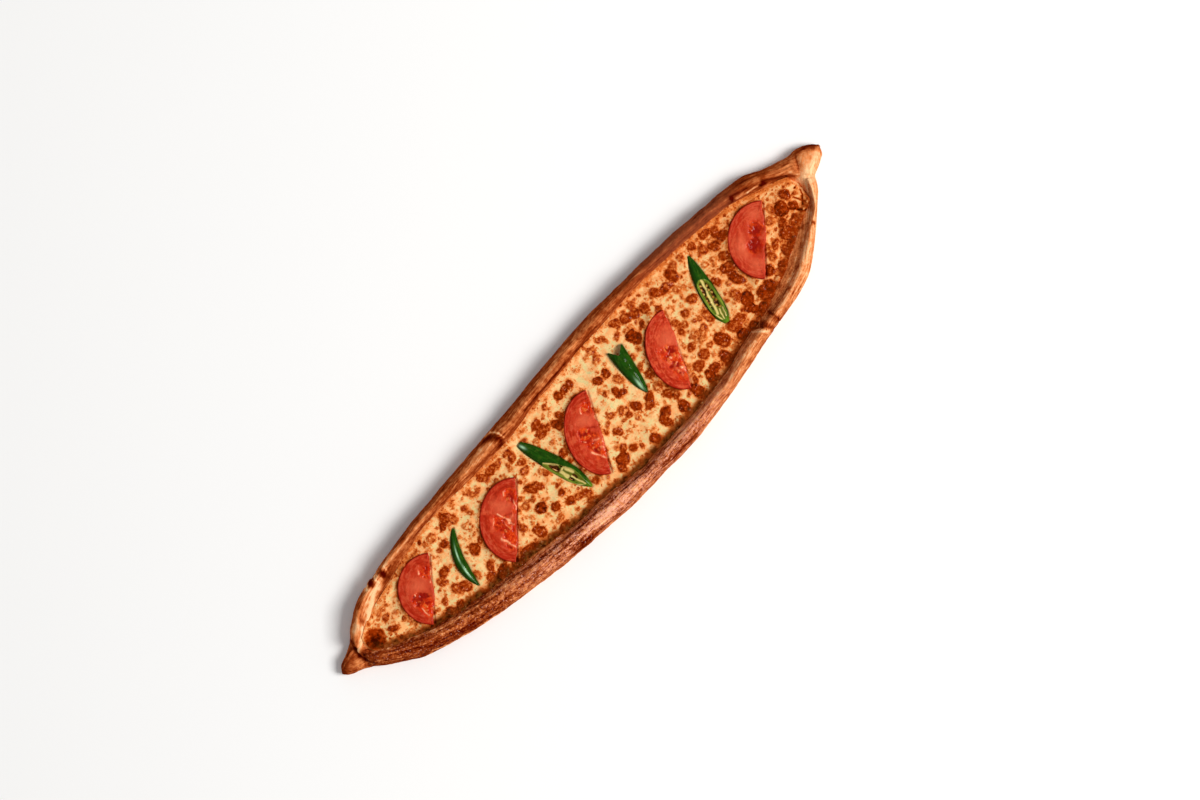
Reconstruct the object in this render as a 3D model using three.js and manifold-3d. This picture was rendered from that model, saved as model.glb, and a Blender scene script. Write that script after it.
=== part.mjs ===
// Turkish pide: a long boat of baked bread dough with a folded rim and pinched ends, filled with
// melted cheese, and topped with five half slices of tomato and four pieces of green pepper.
// Millimetres, +Z up. X runs along the boat, and the origin is on the table under its middle.
import * as THREE from "three";
import { LoftGeometry } from "three/addons/geometries/LoftGeometry.js";
import { mergeVertices } from "three/addons/utils/BufferGeometryUtils.js";
import Module from "manifold-3d";

const wasm = await Module();
wasm.setup();

// ---- Driving dimensions -------------------------------------------------------------------

const HALF_LENGTH = 250; // tip to middle
const FLOOR = 6; // dough under the filling
const CHEESE_TOP = 13; // level of the melted cheese
const GAP = 0.4; // clearance between touching solids
const FINENESS = 0.06; // how far a facet may leave the true surface
const TIP_REACH = 0.7; // rounding of the two tips
const FOOT_INSET = 5; // how far the flat bottom stays inside the outer edge
const WALL_RUN = 4; // how far the inner wall slopes in below the cheese's level
const SHELF_DROP = 0.34; // how far the face above the cheese drops, as a share of the inner wall

const STATIONS = 80; // cross sections along the boat
const END_CROWDING = 0.2; // 0 spaces the stations evenly, 1 crowds them at the tips

// Plan of the boat: [x, y] of its outer edges and of the inner edges of its rim.
const OUTER_HIGH = [
  [-250, 17], [-246, 21.5], [-237, 25], [-230, 28.5], [-220, 35.5], [-202, 44.5], [-181, 48],
  [-139, 52], [-83, 54], [-20, 55.5], [36, 57.5], [71, 56.5], [127, 52], [155, 49.2], [183, 45.4],
  [197, 42], [211, 34.5], [225, 29.2], [237, 26.5], [245, 22.5], [250, 17],
];
const OUTER_LOW = [
  [-250, 17], [-246, 12.5], [-237, 8], [-230, 2.8], [-216, -8], [-202, -18], [-181, -26],
  [-153, -34.5], [-111, -43.7], [-69, -50.5], [-20, -55.4], [36, -57.5], [71, -55.2], [99, -51.5],
  [127, -47], [155, -44], [176, -39], [190, -31.2], [204, -21], [218, -10.4], [228, -1.5],
  [232, 4.5], [240, 7.5], [247, 11], [250, 17],
];
const INNER_HIGH = [
  [-250, 19.5], [-229, 20.5], [-223, 24], [-209, 34.5], [-195, 40], [-167, 44], [-139, 45],
  [-83, 43.2], [-56, 41.8], [-20, 45], [36, 47.3], [85, 47], [127, 43.8], [155, 40.3], [183, 34],
  [204, 27], [218, 18.5], [226, 14], [250, 14],
];
const INNER_LOW = [
  [-250, 15.5], [-229, 16], [-223, 11.5], [-209, 2.5], [-188, -8], [-160, -17], [-118, -26.2],
  [-69, -35.3], [-34, -39], [1, -43.7], [50, -45], [85, -43.8], [106, -39.8], [141, -36.3],
  [162, -32.5], [183, -24.8], [204, -13.6], [214, -8], [220, 0], [226, 10], [250, 10],
];

// Heights along the boat: [x, z].
const RIM_TOP = [
  [-250, 16], [-232, 17], [-224, 19.5], [-200, 21], [-140, 22.2], [0, 23.2], [120, 22.8],
  [190, 21.5], [215, 20.8], [230, 20], [250, 16],
];
// The rim was shaped by hand, so its height ripples: wave length, height and shift along X.
const RIPPLES = [
  { length: 71, height: 0.5, shift: 12 },
  { length: 37, height: 0.4, shift: -5 },
  { length: 23, height: 0.3, shift: 8 },
];
const TAIL_TOP = [
  [-250, 7], [-246, 10.5], [-241, 12.8], [-236, 12.4], [-232.5, 10], [-226, 14], [0, 20],
  [222, 20.5], [232, 19], [240, 16.5], [246, 13], [250, 8.5],
];
// The bottom is flat under the middle and lifts a little towards both ends.
const TAIL_LIFT = [
  [-250, 3], [-241, 1.9], [-220, 1.1], [-180, 0.35], [-150, 0], [150, 0], [180, 0.35], [220, 1.2],
  [241, 2.2], [250, 3.6],
];

const OPENING = { from: -229, to: 226, run: 15 }; // the filled hollow, and how its ends slope up
const TAILS = { left: [-233.5, -227.5], right: [223, 234] }; // where the boat turns into solid tails

// Plan width of the sloping face between the rim's inner edge and the cheese: [x, width]. It is
// wide where the dough was rolled in less.
const SHELF_HIGH = [
  [-250, 1.5], [-222, 3], [-208, 8], [-180, 8.5], [-160, 6], [-145, 3], [-130, 1.8], [180, 1.8],
  [200, 4], [220, 2], [250, 1.5],
];
const SHELF_LOW = [
  [-250, 1.5], [-200, 2], [-120, 3], [-90, 5], [-60, 2], [100, 2], [125, 3], [150, 6], [185, 8],
  [205, 6], [220, 3], [250, 1.5],
];

// The wall's section, as [share of the rim's width from the outer edge, share of its height].
const RIM_SECTION = [
  [0, 0.3], [0.08, 0.55], [0.24, 0.79], [0.45, 0.95], [0.66, 1], [0.87, 0.94], [1, 0.8],
];
const FLOOR_POINTS = 5;

// Laps, where one end of the rim's dough was folded over the other: the lapping end stands
// proud and fades out behind. side is +1 for the high side and -1 for the low one.
const LAPS = [
  { side: 1, x: -52, lift: 2, fade: 26 },
  { side: -1, x: 130, lift: 2.2, fade: 30 },
];
const LAP_EDGE = 1.4; // half the length over which a lap drops

// Baked blisters that stand on the rim: centre, radius and how flat they are.
const BLISTERS = [
  { at: [-189, 44.5, 17.5], radius: 4.6, flat: 0.7 },
  { at: [-178, 43.8, 19], radius: 4, flat: 0.7 },
  { at: [201, 30.5, 20], radius: 4.2, flat: 0.6 },
  { at: [138, -42, 20.5], radius: 4.2, flat: 0.6 },
];

// Melted cheese: its relief is made of low lumps, one big scorched bubble and a raised edge.
const CHEESE = {
  from: -224, to: 219, acrossPoints: 15, lumps: 90, lumpRadius: [5, 8.5], lumpHeight: [0.5, 1.5],
  edgeRise: 1.1, edgeWidth: 5, endRise: 3, endRun: 22,
};
const BIG_BUBBLE = { x: -212, y: 17.5, radius: 7, height: 2.4 };

// Tomato: half slices. x, y is the middle of the straight cut, turn its direction in degrees.
const TOMATO = { thickness: 5.6, bevel: 1, seat: 11.4, curveSegments: 7 };
const TOMATOES = [
  { name: "tomato_1", x: -163.2, y: 11, cut: 50, depth: 23, turn: 46.6 },
  { name: "tomato_2", x: -87.9, y: -0.7, cut: 59, depth: 25, turn: 42.6 },
  { name: "tomato_3", x: -3.5, y: -2.8, cut: 61, depth: 23.5, turn: 59 },
  { name: "tomato_4", x: 76.3, y: -4.9, cut: 58, depth: 21.5, turn: 61.9 },
  { name: "tomato_5", x: 173.3, y: 1.4, cut: 55, depth: 25, turn: 44.5 },
];
// Seed pockets of a slice, as shares of its cut length and depth.
const SEED_POCKETS = [
  { along: -0.2, across: 0.34, long: 0.2, wide: 0.2, turn: -28 },
  { along: 0.2, across: 0.38, long: 0.17, wide: 0.18, turn: 34 },
];
const POCKET_DEPTH = 1.1;

// Green pepper. from is the stalk end and to the tip, bow how far the middle bends to the left
// of that line, width is [share of the length, width], and cut the opened stretch if there is one.
const PEPPER = { seat: 11.6, steps: 13, sides: 9, wall: 1.5, seedLength: 2.6, seedWidth: 1.9 };
const PEPPERS = [
  {
    name: "pepper_1", from: [-121.5, 27.6], to: [-139, -12.3], bow: -5, height: 6,
    width: [[0, 1.8], [0.15, 4.6], [0.4, 7], [0.62, 7.6], [0.82, 5.6], [1, 1.4]],
  },
  {
    name: "pepper_2", from: [-47.2, 32.5], to: [-34.6, -24.9], bow: 0.6, height: 6.4,
    width: [[0, 4.4], [0.1, 7.6], [0.25, 9.8], [0.5, 12], [0.7, 11.6], [0.86, 8.2], [1, 1.8]],
    cut: { middle: 0.64, half: 0.3, seeds: 5 },
  },
  {
    name: "pepper_3", from: [47.2, 27.6], to: [40.2, -9.4], bow: -0.6, height: 7,
    width: [[0, 12.6], [0.2, 12.2], [0.5, 10.6], [0.75, 8], [0.9, 4.8], [1, 1.6]],
    notch: { reach: 6, width: 7.5 },
  },
  {
    name: "pepper_4", from: [129.8, 32.5], to: [113.8, -18.5], bow: -1.2, height: 6.4,
    width: [[0, 1.8], [0.12, 6], [0.3, 9.6], [0.5, 12], [0.7, 12.3], [0.86, 10.4], [1, 3.6]],
    cut: { middle: 0.66, half: 0.31, seeds: 5 },
  },
];

const FINISH = {
  crust: { color: 0xc0743a, roughness: 0.6 },
  cheese: { color: 0xe8bd72, roughness: 0.45 },
  tomato: { color: 0xcf4630, roughness: 0.25 },
  pepper: { color: 0x2f6b1c, roughness: 0.3 },
};

// ---- Helpers ------------------------------------------------------------------------------

const { clamp, lerp, smoothstep, degToRad } = THREE.MathUtils;

// A smooth curve through [x, value] pairs, as a function of x. It never swings past them.
function profile(pairs) {
  const rises = pairs.slice(1).map(([x, value], i) => (value - pairs[i][1]) / (x - pairs[i][0]));
  const slopes = pairs.map((_, i) => {
    const [before, after] = [rises[i - 1], rises[i]];
    if (before === undefined || after === undefined) return before ?? after;
    return before * after <= 0 ? 0 : (2 * before * after) / (before + after);
  });
  return (at) => {
    const x = clamp(at, pairs[0][0], pairs.at(-1)[0]);
    const i = Math.min(pairs.findLastIndex((pair) => pair[0] <= x), pairs.length - 2);
    const [[x0, value0], [x1, value1]] = [pairs[i], pairs[i + 1]];
    const length = x1 - x0;
    const t = (x - x0) / length;
    const bend = t * (1 - t) * length;
    const eased = lerp(value0, value1, t * t * (3 - 2 * t));
    return eased + bend * ((1 - t) * slopes[i] - t * slopes[i + 1]);
  };
}

// A random number maker with a fixed seed.
function seededRandom(seed) {
  let state = seed;
  return () => {
    state = (Math.imul(state, 1664525) + 1013904223) >>> 0;
    return state / 4294967296;
  };
}

// A closed geometry as a solid that can be cut and joined.
function solid(geometry) {
  const bare = new THREE.BufferGeometry();
  bare.setAttribute("position", geometry.getAttribute("position"));
  bare.setIndex(geometry.index);
  const merged = mergeVertices(bare, 1e-4);
  return new wasm.Manifold(
    new wasm.Mesh({
      numProp: 3,
      vertProperties: new Float32Array(merged.getAttribute("position").array),
      triVerts: new Uint32Array(merged.index.array),
    }),
  );
}

// A solid lofted through closed sections, which run over the top from right to left. Each end
// is drawn together to its middle, which may lie a little further out along X.
function closedLoft(sections, reach = 0) {
  const drawnTogether = (ring, further) => {
    const middle = new THREE.Vector3(further, 0, 0);
    ring.forEach((point) => middle.addScaledVector(point, 1 / ring.length));
    return ring.map(() => middle.clone());
  };
  const start = drawnTogether(sections[0], -reach);
  const end = drawnTogether(sections.at(-1), reach);
  return solid(new LoftGeometry([start, ...sections, end].map((ring) => ring.toReversed())));
}

function geometryOf(manifold) {
  const { vertProperties, triVerts } = manifold.simplify(FINENESS).getMesh();
  const geometry = new THREE.BufferGeometry();
  geometry.setAttribute("position", new THREE.BufferAttribute(vertProperties, 3));
  geometry.setIndex(new THREE.BufferAttribute(triVerts, 1));
  geometry.computeVertexNormals();
  return geometry;
}

// A low-sided egg shape, by its centre and its three half sizes, turned about Z.
function ellipsoid([x, y, z], [a, b, c], turn = 0, around = 8, over = 5) {
  const geometry = new THREE.SphereGeometry(1, around, over);
  geometry.rotateX(Math.PI / 2).scale(a, b, c).rotateZ(turn).translate(x, y, z);
  return geometry;
}

function piece(name, geometry, finish) {
  const mesh = new THREE.Mesh(
    geometry,
    new THREE.MeshStandardMaterial({ ...FINISH[finish], metalness: 0 }),
  );
  mesh.name = name;
  return mesh;
}

// ---- The boat's shape ---------------------------------------------------------------------

const outerHigh = profile(OUTER_HIGH);
const outerLow = profile(OUTER_LOW);
const innerHigh = profile(INNER_HIGH);
const innerLow = profile(INNER_LOW);
const rimTop = profile(RIM_TOP);
const tailTop = profile(TAIL_TOP);
const tailLift = profile(TAIL_LIFT);
const shelfHigh = profile(SHELF_HIGH);
const shelfLow = profile(SHELF_LOW);

// Stations crowd a little towards the tips. Each lap's drop has two of its own, and each end of
// the cheese has one.
function stations() {
  const places = [];
  for (let i = 0; i <= STATIONS; i++) {
    const even = (2 * i) / STATIONS - 1;
    const crowded = -Math.cos((Math.PI * i) / STATIONS);
    places.push(HALF_LENGTH * lerp(even, crowded, END_CROWDING));
  }
  const drops = LAPS.flatMap((lap) => [lap.x - LAP_EDGE, lap.x + LAP_EDGE]);
  const fixed = [...drops, CHEESE.from, CHEESE.to];
  const clear = places.filter((x) => fixed.every((other) => Math.abs(x - other) > LAP_EDGE));
  return [...clear, ...fixed].sort((a, b) => a - b);
}

// How much a lap raises the rim of one side at x.
function lapLift(x, side) {
  return LAPS.filter((lap) => lap.side === side).reduce((sum, lap) => {
    const drop = 1 - smoothstep(x, lap.x - LAP_EDGE, lap.x + LAP_EDGE);
    return sum + lap.lift * drop * Math.exp(-Math.max(0, lap.x - x) / lap.fade);
  }, 0);
}

// How much the rim of one side rises or sinks at x, as it was shaped by hand.
function ripple(x, side) {
  const wave = ({ length, height, shift }) =>
    height * Math.sin((2 * Math.PI * (x + side * shift)) / length);
  return RIPPLES.reduce((sum, each) => sum + wave(each), 0);
}

// 0 where the hollow has its full depth, 1 at its ends.
function closing(x) {
  const fromEnd = Math.min(x - OPENING.from, OPENING.to - x);
  return 1 - smoothstep(fromEnd, 0, OPENING.run);
}

// The dough's floor under the filling.
function floorLevel(x) {
  return lerp(FLOOR, 0.84 * rimTop(x), closing(x));
}

// The inner wall's two runs at x, above and below the cheese's level: less where the hollow is
// narrow.
function wallRuns(x, side) {
  const hollow = innerHigh(x) - innerLow(x);
  const shelf = side > 0 ? shelfHigh(x) : shelfLow(x);
  return [Math.min(shelf, 0.2 * hollow), Math.min(WALL_RUN, 0.15 * hollow)];
}

// One wall at x, from its foot over the rim to the floor, as [y, z] points.
function wallPoints(x, side) {
  const outer = side > 0 ? outerHigh(x) : outerLow(x);
  const inner = side > 0 ? innerHigh(x) : innerLow(x);
  const width = Math.abs(outer - inner);
  const base = tailLift(x);
  const top = rimTop(x) + ripple(x, side) + lapLift(x, side) - base;
  const foot = Math.min(FOOT_INSET, 0.35 * width);
  const low = floorLevel(x);
  const lip = base + top * RIM_SECTION.at(-1)[1];
  const [shelf, run] = wallRuns(x, side);
  const points = [[foot, base], [0.25 * foot, base + 1.8]];
  for (const [inward, up] of RIM_SECTION) points.push([inward * width, base + up * top]);
  points.push([width + shelf, lerp(lip, low, SHELF_DROP)]);
  points.push([width + shelf + run, lerp(low, lip, 0.06)]);
  return points.map(([inward, z]) => [outer - side * inward, z]);
}

// The boat's ring of points at x: up the low wall, over the floor, down the high wall.
function boatSection(x) {
  const low = wallPoints(x, -1);
  const high = wallPoints(x, 1).reverse();
  const level = floorLevel(x);
  const floor = [];
  for (let i = 1; i <= FLOOR_POINTS; i++) {
    floor.push([lerp(low.at(-1)[0], high[0][0], i / (FLOOR_POINTS + 1)), level]);
  }
  return [...low, ...floor, ...high];
}

// The same ring where the boat is a solid tail: a rounded lump with a flat foot.
function tailSection(x, count) {
  const footAngle = degToRad(42);
  const middle = (outerHigh(x) + outerLow(x)) / 2;
  const halfWidth = (outerHigh(x) - outerLow(x)) / 2;
  const base = tailLift(x);
  const waist = lerp(base, tailTop(x), 0.36);
  const ring = [];
  for (let i = 0; i < count; i++) {
    const angle = lerp(-footAngle, Math.PI + footAngle, i / (count - 1));
    const up = Math.sin(angle);
    const rise = up > 0 ? tailTop(x) - waist : (waist - base) / Math.sin(footAngle);
    ring.push([middle - halfWidth * Math.cos(angle), waist + rise * up]);
  }
  return ring;
}

function crustSection(x) {
  const [leftFrom, leftTo] = TAILS.left;
  const [rightFrom, rightTo] = TAILS.right;
  const tail = 1 - smoothstep(x, leftFrom, leftTo) + smoothstep(x, rightFrom, rightTo);
  const boat = boatSection(x);
  const lump = tailSection(x, boat.length);
  const ring = boat.map(([y, z], i) => [lerp(y, lump[i][0], tail), lerp(z, lump[i][1], tail)]);
  // the flat bottom, from the high foot back to the low one
  const [first, last] = [ring[0], ring.at(-1)];
  for (const share of [0.25, 0.5, 0.75]) {
    ring.push([lerp(last[0], first[0], share), lerp(last[1], first[1], share)]);
  }
  return ring.map(([y, z]) => new THREE.Vector3(x, y, z));
}

function crust(places) {
  const capped = HALF_LENGTH - TIP_REACH;
  const sections = places.map((x) => crustSection(clamp(x, -capped, capped)));
  let body = closedLoft(sections, TIP_REACH);
  for (const { at, radius, flat } of BLISTERS) {
    body = body.add(solid(ellipsoid(at, [radius, radius, radius * flat])));
  }
  return body;
}

// ---- The melted cheese --------------------------------------------------------------------

// Low lumps spread over the filling, each with its own place, radius and height.
function cheeseLumps() {
  const random = seededRandom(41);
  return Array.from({ length: CHEESE.lumps }, () => {
    const x = lerp(CHEESE.from + 14, CHEESE.to - 10, random());
    return {
      x,
      y: lerp(innerLow(x) + 3, innerHigh(x) - 3, random()),
      radius: lerp(...CHEESE.lumpRadius, random()),
      height: lerp(...CHEESE.lumpHeight, random()),
    };
  });
}

const lumps = [...cheeseLumps(), BIG_BUBBLE];

// The cheese's top at a point: level, raised at the walls and the ends, with its lumps. low and
// high are where the cheese meets the walls at x.
function cheeseTop(x, y, low, high) {
  const fromWall = Math.min(y - low, high - y);
  const fromEnd = Math.min(x - CHEESE.from, CHEESE.to - x);
  const edge = CHEESE.edgeRise * (1 - smoothstep(fromWall, 0, CHEESE.edgeWidth));
  const end = CHEESE.endRise * (1 - smoothstep(fromEnd, 0, CHEESE.endRun));
  const bumps = lumps.map(
    (lump) => lump.height * Math.exp(-((x - lump.x) ** 2 + (y - lump.y) ** 2) / lump.radius ** 2),
  );
  return CHEESE_TOP + edge + end + Math.min(2.6, bumps.reduce((a, b) => a + b, 0));
}

// The cheese's ring of points at x. Its sides follow the inner walls below their shelves, which
// they clear by the gap, and by more where the walls turn in at the ends.
function cheeseSection(x) {
  const clearance = GAP * (1 + 3.5 * closing(x));
  const [lowShelf, lowToe] = wallPoints(x, -1).slice(-2);
  const [highShelf, highToe] = wallPoints(x, 1).slice(-2);
  const topAt = (y) => cheeseTop(x, y, lowShelf[0], highShelf[0]);
  const edge = (shelf, toe, side) => {
    const level = Math.min(topAt(shelf[0]), shelf[1]) - 0.2;
    const y = lerp(toe[0], shelf[0], (level - toe[1]) / (shelf[1] - toe[1]));
    return [y - side * clearance, level];
  };
  const low = edge(lowShelf, lowToe, -1);
  const high = edge(highShelf, highToe, 1);
  const bottom = floorLevel(x) + GAP;
  const ring = [[lowToe[0] + clearance, lowToe[1] + GAP], low];
  for (let i = 1; i <= CHEESE.acrossPoints; i++) {
    const y = lerp(low[0], high[0], i / (CHEESE.acrossPoints + 1));
    ring.push([y, Math.max(topAt(y), bottom + 1)]);
  }
  ring.push(high, [highToe[0] - clearance, highToe[1] + GAP]);
  for (const share of [0.25, 0.5, 0.75]) {
    ring.push([lerp(highToe[0], lowToe[0], share), bottom]);
  }
  return ring.map(([y, z]) => new THREE.Vector3(x, y, z));
}

function cheese(places) {
  const inside = places.filter((x) => x >= CHEESE.from && x <= CHEESE.to);
  return closedLoft(inside.map(cheeseSection));
}

// ---- Tomato -------------------------------------------------------------------------------

// A half slice's outline: the skin's arc over +Y, and the cut, which waves a little.
function tomatoShape({ cut, depth }, grow) {
  const half = cut / 2 + grow;
  const shape = new THREE.Shape();
  shape.moveTo(half, -grow);
  shape.absellipse(0, -grow, half, depth + 2 * grow, 0, Math.PI, false);
  shape.quadraticCurveTo(-0.5 * half, -2.4 - grow, 0, -1.4 - grow);
  shape.quadraticCurveTo(0.5 * half, -2.8 - grow, half, -grow);
  return shape;
}

function tomatoSlice(slice) {
  const { thickness, bevel, curveSegments } = TOMATO;
  const body = new THREE.ExtrudeGeometry(tomatoShape(slice, -bevel), {
    depth: thickness - 2 * bevel,
    bevelThickness: bevel,
    bevelSize: bevel,
    bevelSegments: 2,
    curveSegments,
  }).translate(0, 0, bevel);
  return SEED_POCKETS.reduce((left, pocket) => {
    const at = [pocket.along * slice.cut, pocket.across * slice.depth, thickness + 0.4];
    const size = [pocket.long * slice.cut, pocket.wide * slice.depth, POCKET_DEPTH + 0.4];
    return left.subtract(solid(ellipsoid(at, size, degToRad(pocket.turn))));
  }, solid(body));
}

// The bed that a slice has pressed into the cheese.
function tomatoBed(slice) {
  return new THREE.ExtrudeGeometry(tomatoShape(slice, 2 * GAP), {
    depth: 20,
    bevelEnabled: false,
    curveSegments: TOMATO.curveSegments,
  }).translate(0, 0, -GAP);
}

function placeTomato(mesh, slice) {
  mesh.position.set(slice.x, slice.y, TOMATO.seat);
  mesh.rotation.z = degToRad(slice.turn);
  mesh.updateMatrix();
  return mesh;
}

// ---- Green pepper -------------------------------------------------------------------------

// The pepper's middle line at a share of its length, with the direction across it.
function pepperLine(pepper, share) {
  const from = new THREE.Vector2(...pepper.from);
  const to = new THREE.Vector2(...pepper.to);
  const along = to.clone().sub(from);
  const left = new THREE.Vector2(-along.y, along.x).normalize();
  const bend = pepper.bow * (1 - (2 * share - 1) ** 2);
  const slope = (-4 * pepper.bow * (2 * share - 1)) / along.length();
  const middle = from.clone().lerp(to, share).addScaledVector(left, bend);
  const across = left.clone().addScaledVector(along.clone().normalize(), -slope).normalize();
  return { middle, across };
}

// A loft along the pepper. sectionAt gives each section as [across, up] points.
function pepperLoft(pepper, fromShare, toShare, steps, sectionAt) {
  const sections = [];
  for (let i = 0; i <= steps; i++) {
    const share = lerp(fromShare, toShare, i / steps);
    const { middle, across } = pepperLine(pepper, share);
    sections.push(
      sectionAt(share).map(([side, up]) => {
        const at = middle.clone().addScaledVector(across, side);
        return new THREE.Vector3(at.x, at.y, PEPPER.seat + up);
      }),
    );
  }
  return closedLoft(sections);
}

// A flat-footed arch: width and height are full sizes.
function archPoints(width, height) {
  const foot = degToRad(28);
  const points = [];
  for (let i = 0; i < PEPPER.sides; i++) {
    const angle = lerp(-foot, Math.PI + foot, i / (PEPPER.sides - 1));
    const drop = Math.sin(foot);
    points.push([
      -(width / 2) * Math.cos(angle),
      (height * (Math.sin(angle) + drop)) / (1 + drop),
    ]);
  }
  return points;
}

const boxPoints = (width, bottom, top) => [
  [-width / 2, bottom], [-width / 2, top], [width / 2, top], [width / 2, bottom],
];

function pepperBody(pepper, width) {
  const widest = Math.max(...pepper.width.map((pair) => pair[1]));
  const heightAt = (share) => pepper.height * (0.25 + (0.75 * width(share)) / widest);
  return pepperLoft(pepper, 0, 1, PEPPER.steps, (share) =>
    archPoints(width(share), heightAt(share)),
  );
}

// The opened stretch: an oval hollow, with the pale core and its seeds on the hollow's floor.
function openPepper(body, pepper, width) {
  const { middle: centre, half, seeds } = pepper.cut;
  const oval = (share) => Math.sqrt(Math.max(0.02, 1 - ((share - centre) / half) ** 2));
  const hollowWidth = (share) => Math.max(0.6, (width(share) - 2 * PEPPER.wall) * oval(share));
  const hollow = pepperLoft(pepper, centre - half, centre + half, 9, (share) =>
    boxPoints(hollowWidth(share), PEPPER.wall, 20),
  );
  const core = pepperLoft(pepper, centre - 0.9 * half, centre + 0.8 * half, 4, (share) =>
    boxPoints(0.36 * hollowWidth(share), 0.6, PEPPER.wall + 1.5 * oval(share)),
  );
  let opened = body.subtract(hollow).add(core);
  for (let i = 0; i < seeds; i++) {
    const share = lerp(centre - 0.66 * half, centre + 0.6 * half, i / (seeds - 1));
    const { middle, across } = pepperLine(pepper, share);
    const side = (i % 2 ? 1 : -1) * 0.34 * hollowWidth(share);
    const at = middle.addScaledVector(across, side);
    const size = [PEPPER.seedLength / 2, PEPPER.seedWidth / 2, 0.7];
    const seed = ellipsoid([at.x, at.y, PEPPER.seat + PEPPER.wall + 0.2], size, i * 1.9, 6, 3);
    opened = opened.add(solid(seed));
  }
  return opened;
}

// The stalk end cut away in a bay, which leaves a horn on each side.
function notchPepper(body, pepper) {
  const { middle } = pepperLine(pepper, 0);
  const { reach, width } = pepper.notch;
  const turn = Math.atan2(pepper.to[1] - pepper.from[1], pepper.to[0] - pepper.from[0]);
  const bay = ellipsoid([middle.x, middle.y, PEPPER.seat + 5.4], [reach, width / 2, 4.2], turn, 10, 6);
  return body.subtract(solid(bay));
}

function pepperPiece(pepper) {
  const width = profile(pepper.width);
  const body = pepperBody(pepper, width);
  if (pepper.cut) return openPepper(body, pepper, width);
  return pepper.notch ? notchPepper(body, pepper) : body;
}

function pepperBed(pepper) {
  const width = profile(pepper.width);
  const past = 1.2 / Math.hypot(pepper.to[0] - pepper.from[0], pepper.to[1] - pepper.from[1]);
  return pepperLoft(pepper, -past, 1 + past, PEPPER.steps, (share) =>
    boxPoints(width(clamp(share, 0, 1)) + 3 * GAP, -GAP, 20),
  );
}

// ---- Assembly -----------------------------------------------------------------------------

const pide = new THREE.Group();
const places = stations();
let filling = cheese(places);

for (const slice of TOMATOES) {
  const mesh = placeTomato(piece(slice.name, geometryOf(tomatoSlice(slice)), "tomato"), slice);
  filling = filling.subtract(solid(tomatoBed(slice).applyMatrix4(mesh.matrix)));
  pide.add(mesh);
}

for (const pepper of PEPPERS) {
  filling = filling.subtract(pepperBed(pepper));
  pide.add(piece(pepper.name, geometryOf(pepperPiece(pepper)), "pepper"));
}

pide.add(piece("crust", geometryOf(crust(places)), "crust"));
pide.add(piece("cheese", geometryOf(filling), "cheese"));

export default pide;
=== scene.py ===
"""Turkish pide: a baked boat of dough with melted cheese, half slices of tomato and green pepper.

Lengths in the tables below are millimetres, or steps of a layout grid where a comment says so,
with X along the boat, as in the CAD model.
"""

import math

import bmesh
import bpy
import numpy as np
from bpy.props import FloatProperty, FloatVectorProperty, IntProperty, PointerProperty
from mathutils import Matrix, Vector, noise


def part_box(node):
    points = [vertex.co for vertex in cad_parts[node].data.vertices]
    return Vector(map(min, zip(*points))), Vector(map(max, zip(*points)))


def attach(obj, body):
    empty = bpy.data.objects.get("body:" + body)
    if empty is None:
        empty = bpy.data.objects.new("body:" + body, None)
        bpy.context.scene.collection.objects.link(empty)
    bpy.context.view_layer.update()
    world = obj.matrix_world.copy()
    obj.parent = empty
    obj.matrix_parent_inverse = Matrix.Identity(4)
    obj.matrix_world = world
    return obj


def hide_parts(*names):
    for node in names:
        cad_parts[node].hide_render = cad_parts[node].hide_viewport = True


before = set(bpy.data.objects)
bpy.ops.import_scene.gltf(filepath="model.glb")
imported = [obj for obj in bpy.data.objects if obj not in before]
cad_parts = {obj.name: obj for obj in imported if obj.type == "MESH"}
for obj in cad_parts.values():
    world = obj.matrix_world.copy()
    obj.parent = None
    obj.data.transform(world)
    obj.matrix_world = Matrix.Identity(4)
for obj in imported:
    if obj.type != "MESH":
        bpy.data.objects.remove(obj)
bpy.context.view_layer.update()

bl_info = {
    "name": "Turkish pide",
    "version": (1, 0, 0),
    "blender": (4, 5, 0),
    "location": "View3D > Sidebar > Pide",
    "description": "Builds a cheese pide with tomato and green pepper",
    "category": "Add Mesh",
}

MM = 0.001

# ---- The boat's shape, as in the CAD model

HALF_LENGTH = 250.0
FLOOR = 6.0  # dough under the filling
CHEESE_TOP = 13.0
GAP = 0.4  # between the dough and the cheese
TIP_REACH = 0.7  # from the last section to the tip
FOOT_INSET, FOOT_LIMIT = 5.0, 0.35  # how far a wall's foot draws in, or that share of a narrow wall
FLANK = (0.25, 1.8)  # over the foot: share of that inset, height
WALL_RUN, RUN_LIMIT = 4.0, 0.15  # run of the inner wall, or that share of a narrow hollow
SHELF_DROP, SHELF_LIMIT = 0.34, 0.2  # drop of the inner slope, and its most width in a hollow
TOE_RISE = 0.06  # how high the inner wall meets the floor, as a share of its height
END_LEVEL = 0.84  # at the hollow's ends the floor rises to this share of the rim
WAIST = 0.36  # a tail is widest at this share of its height

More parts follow.
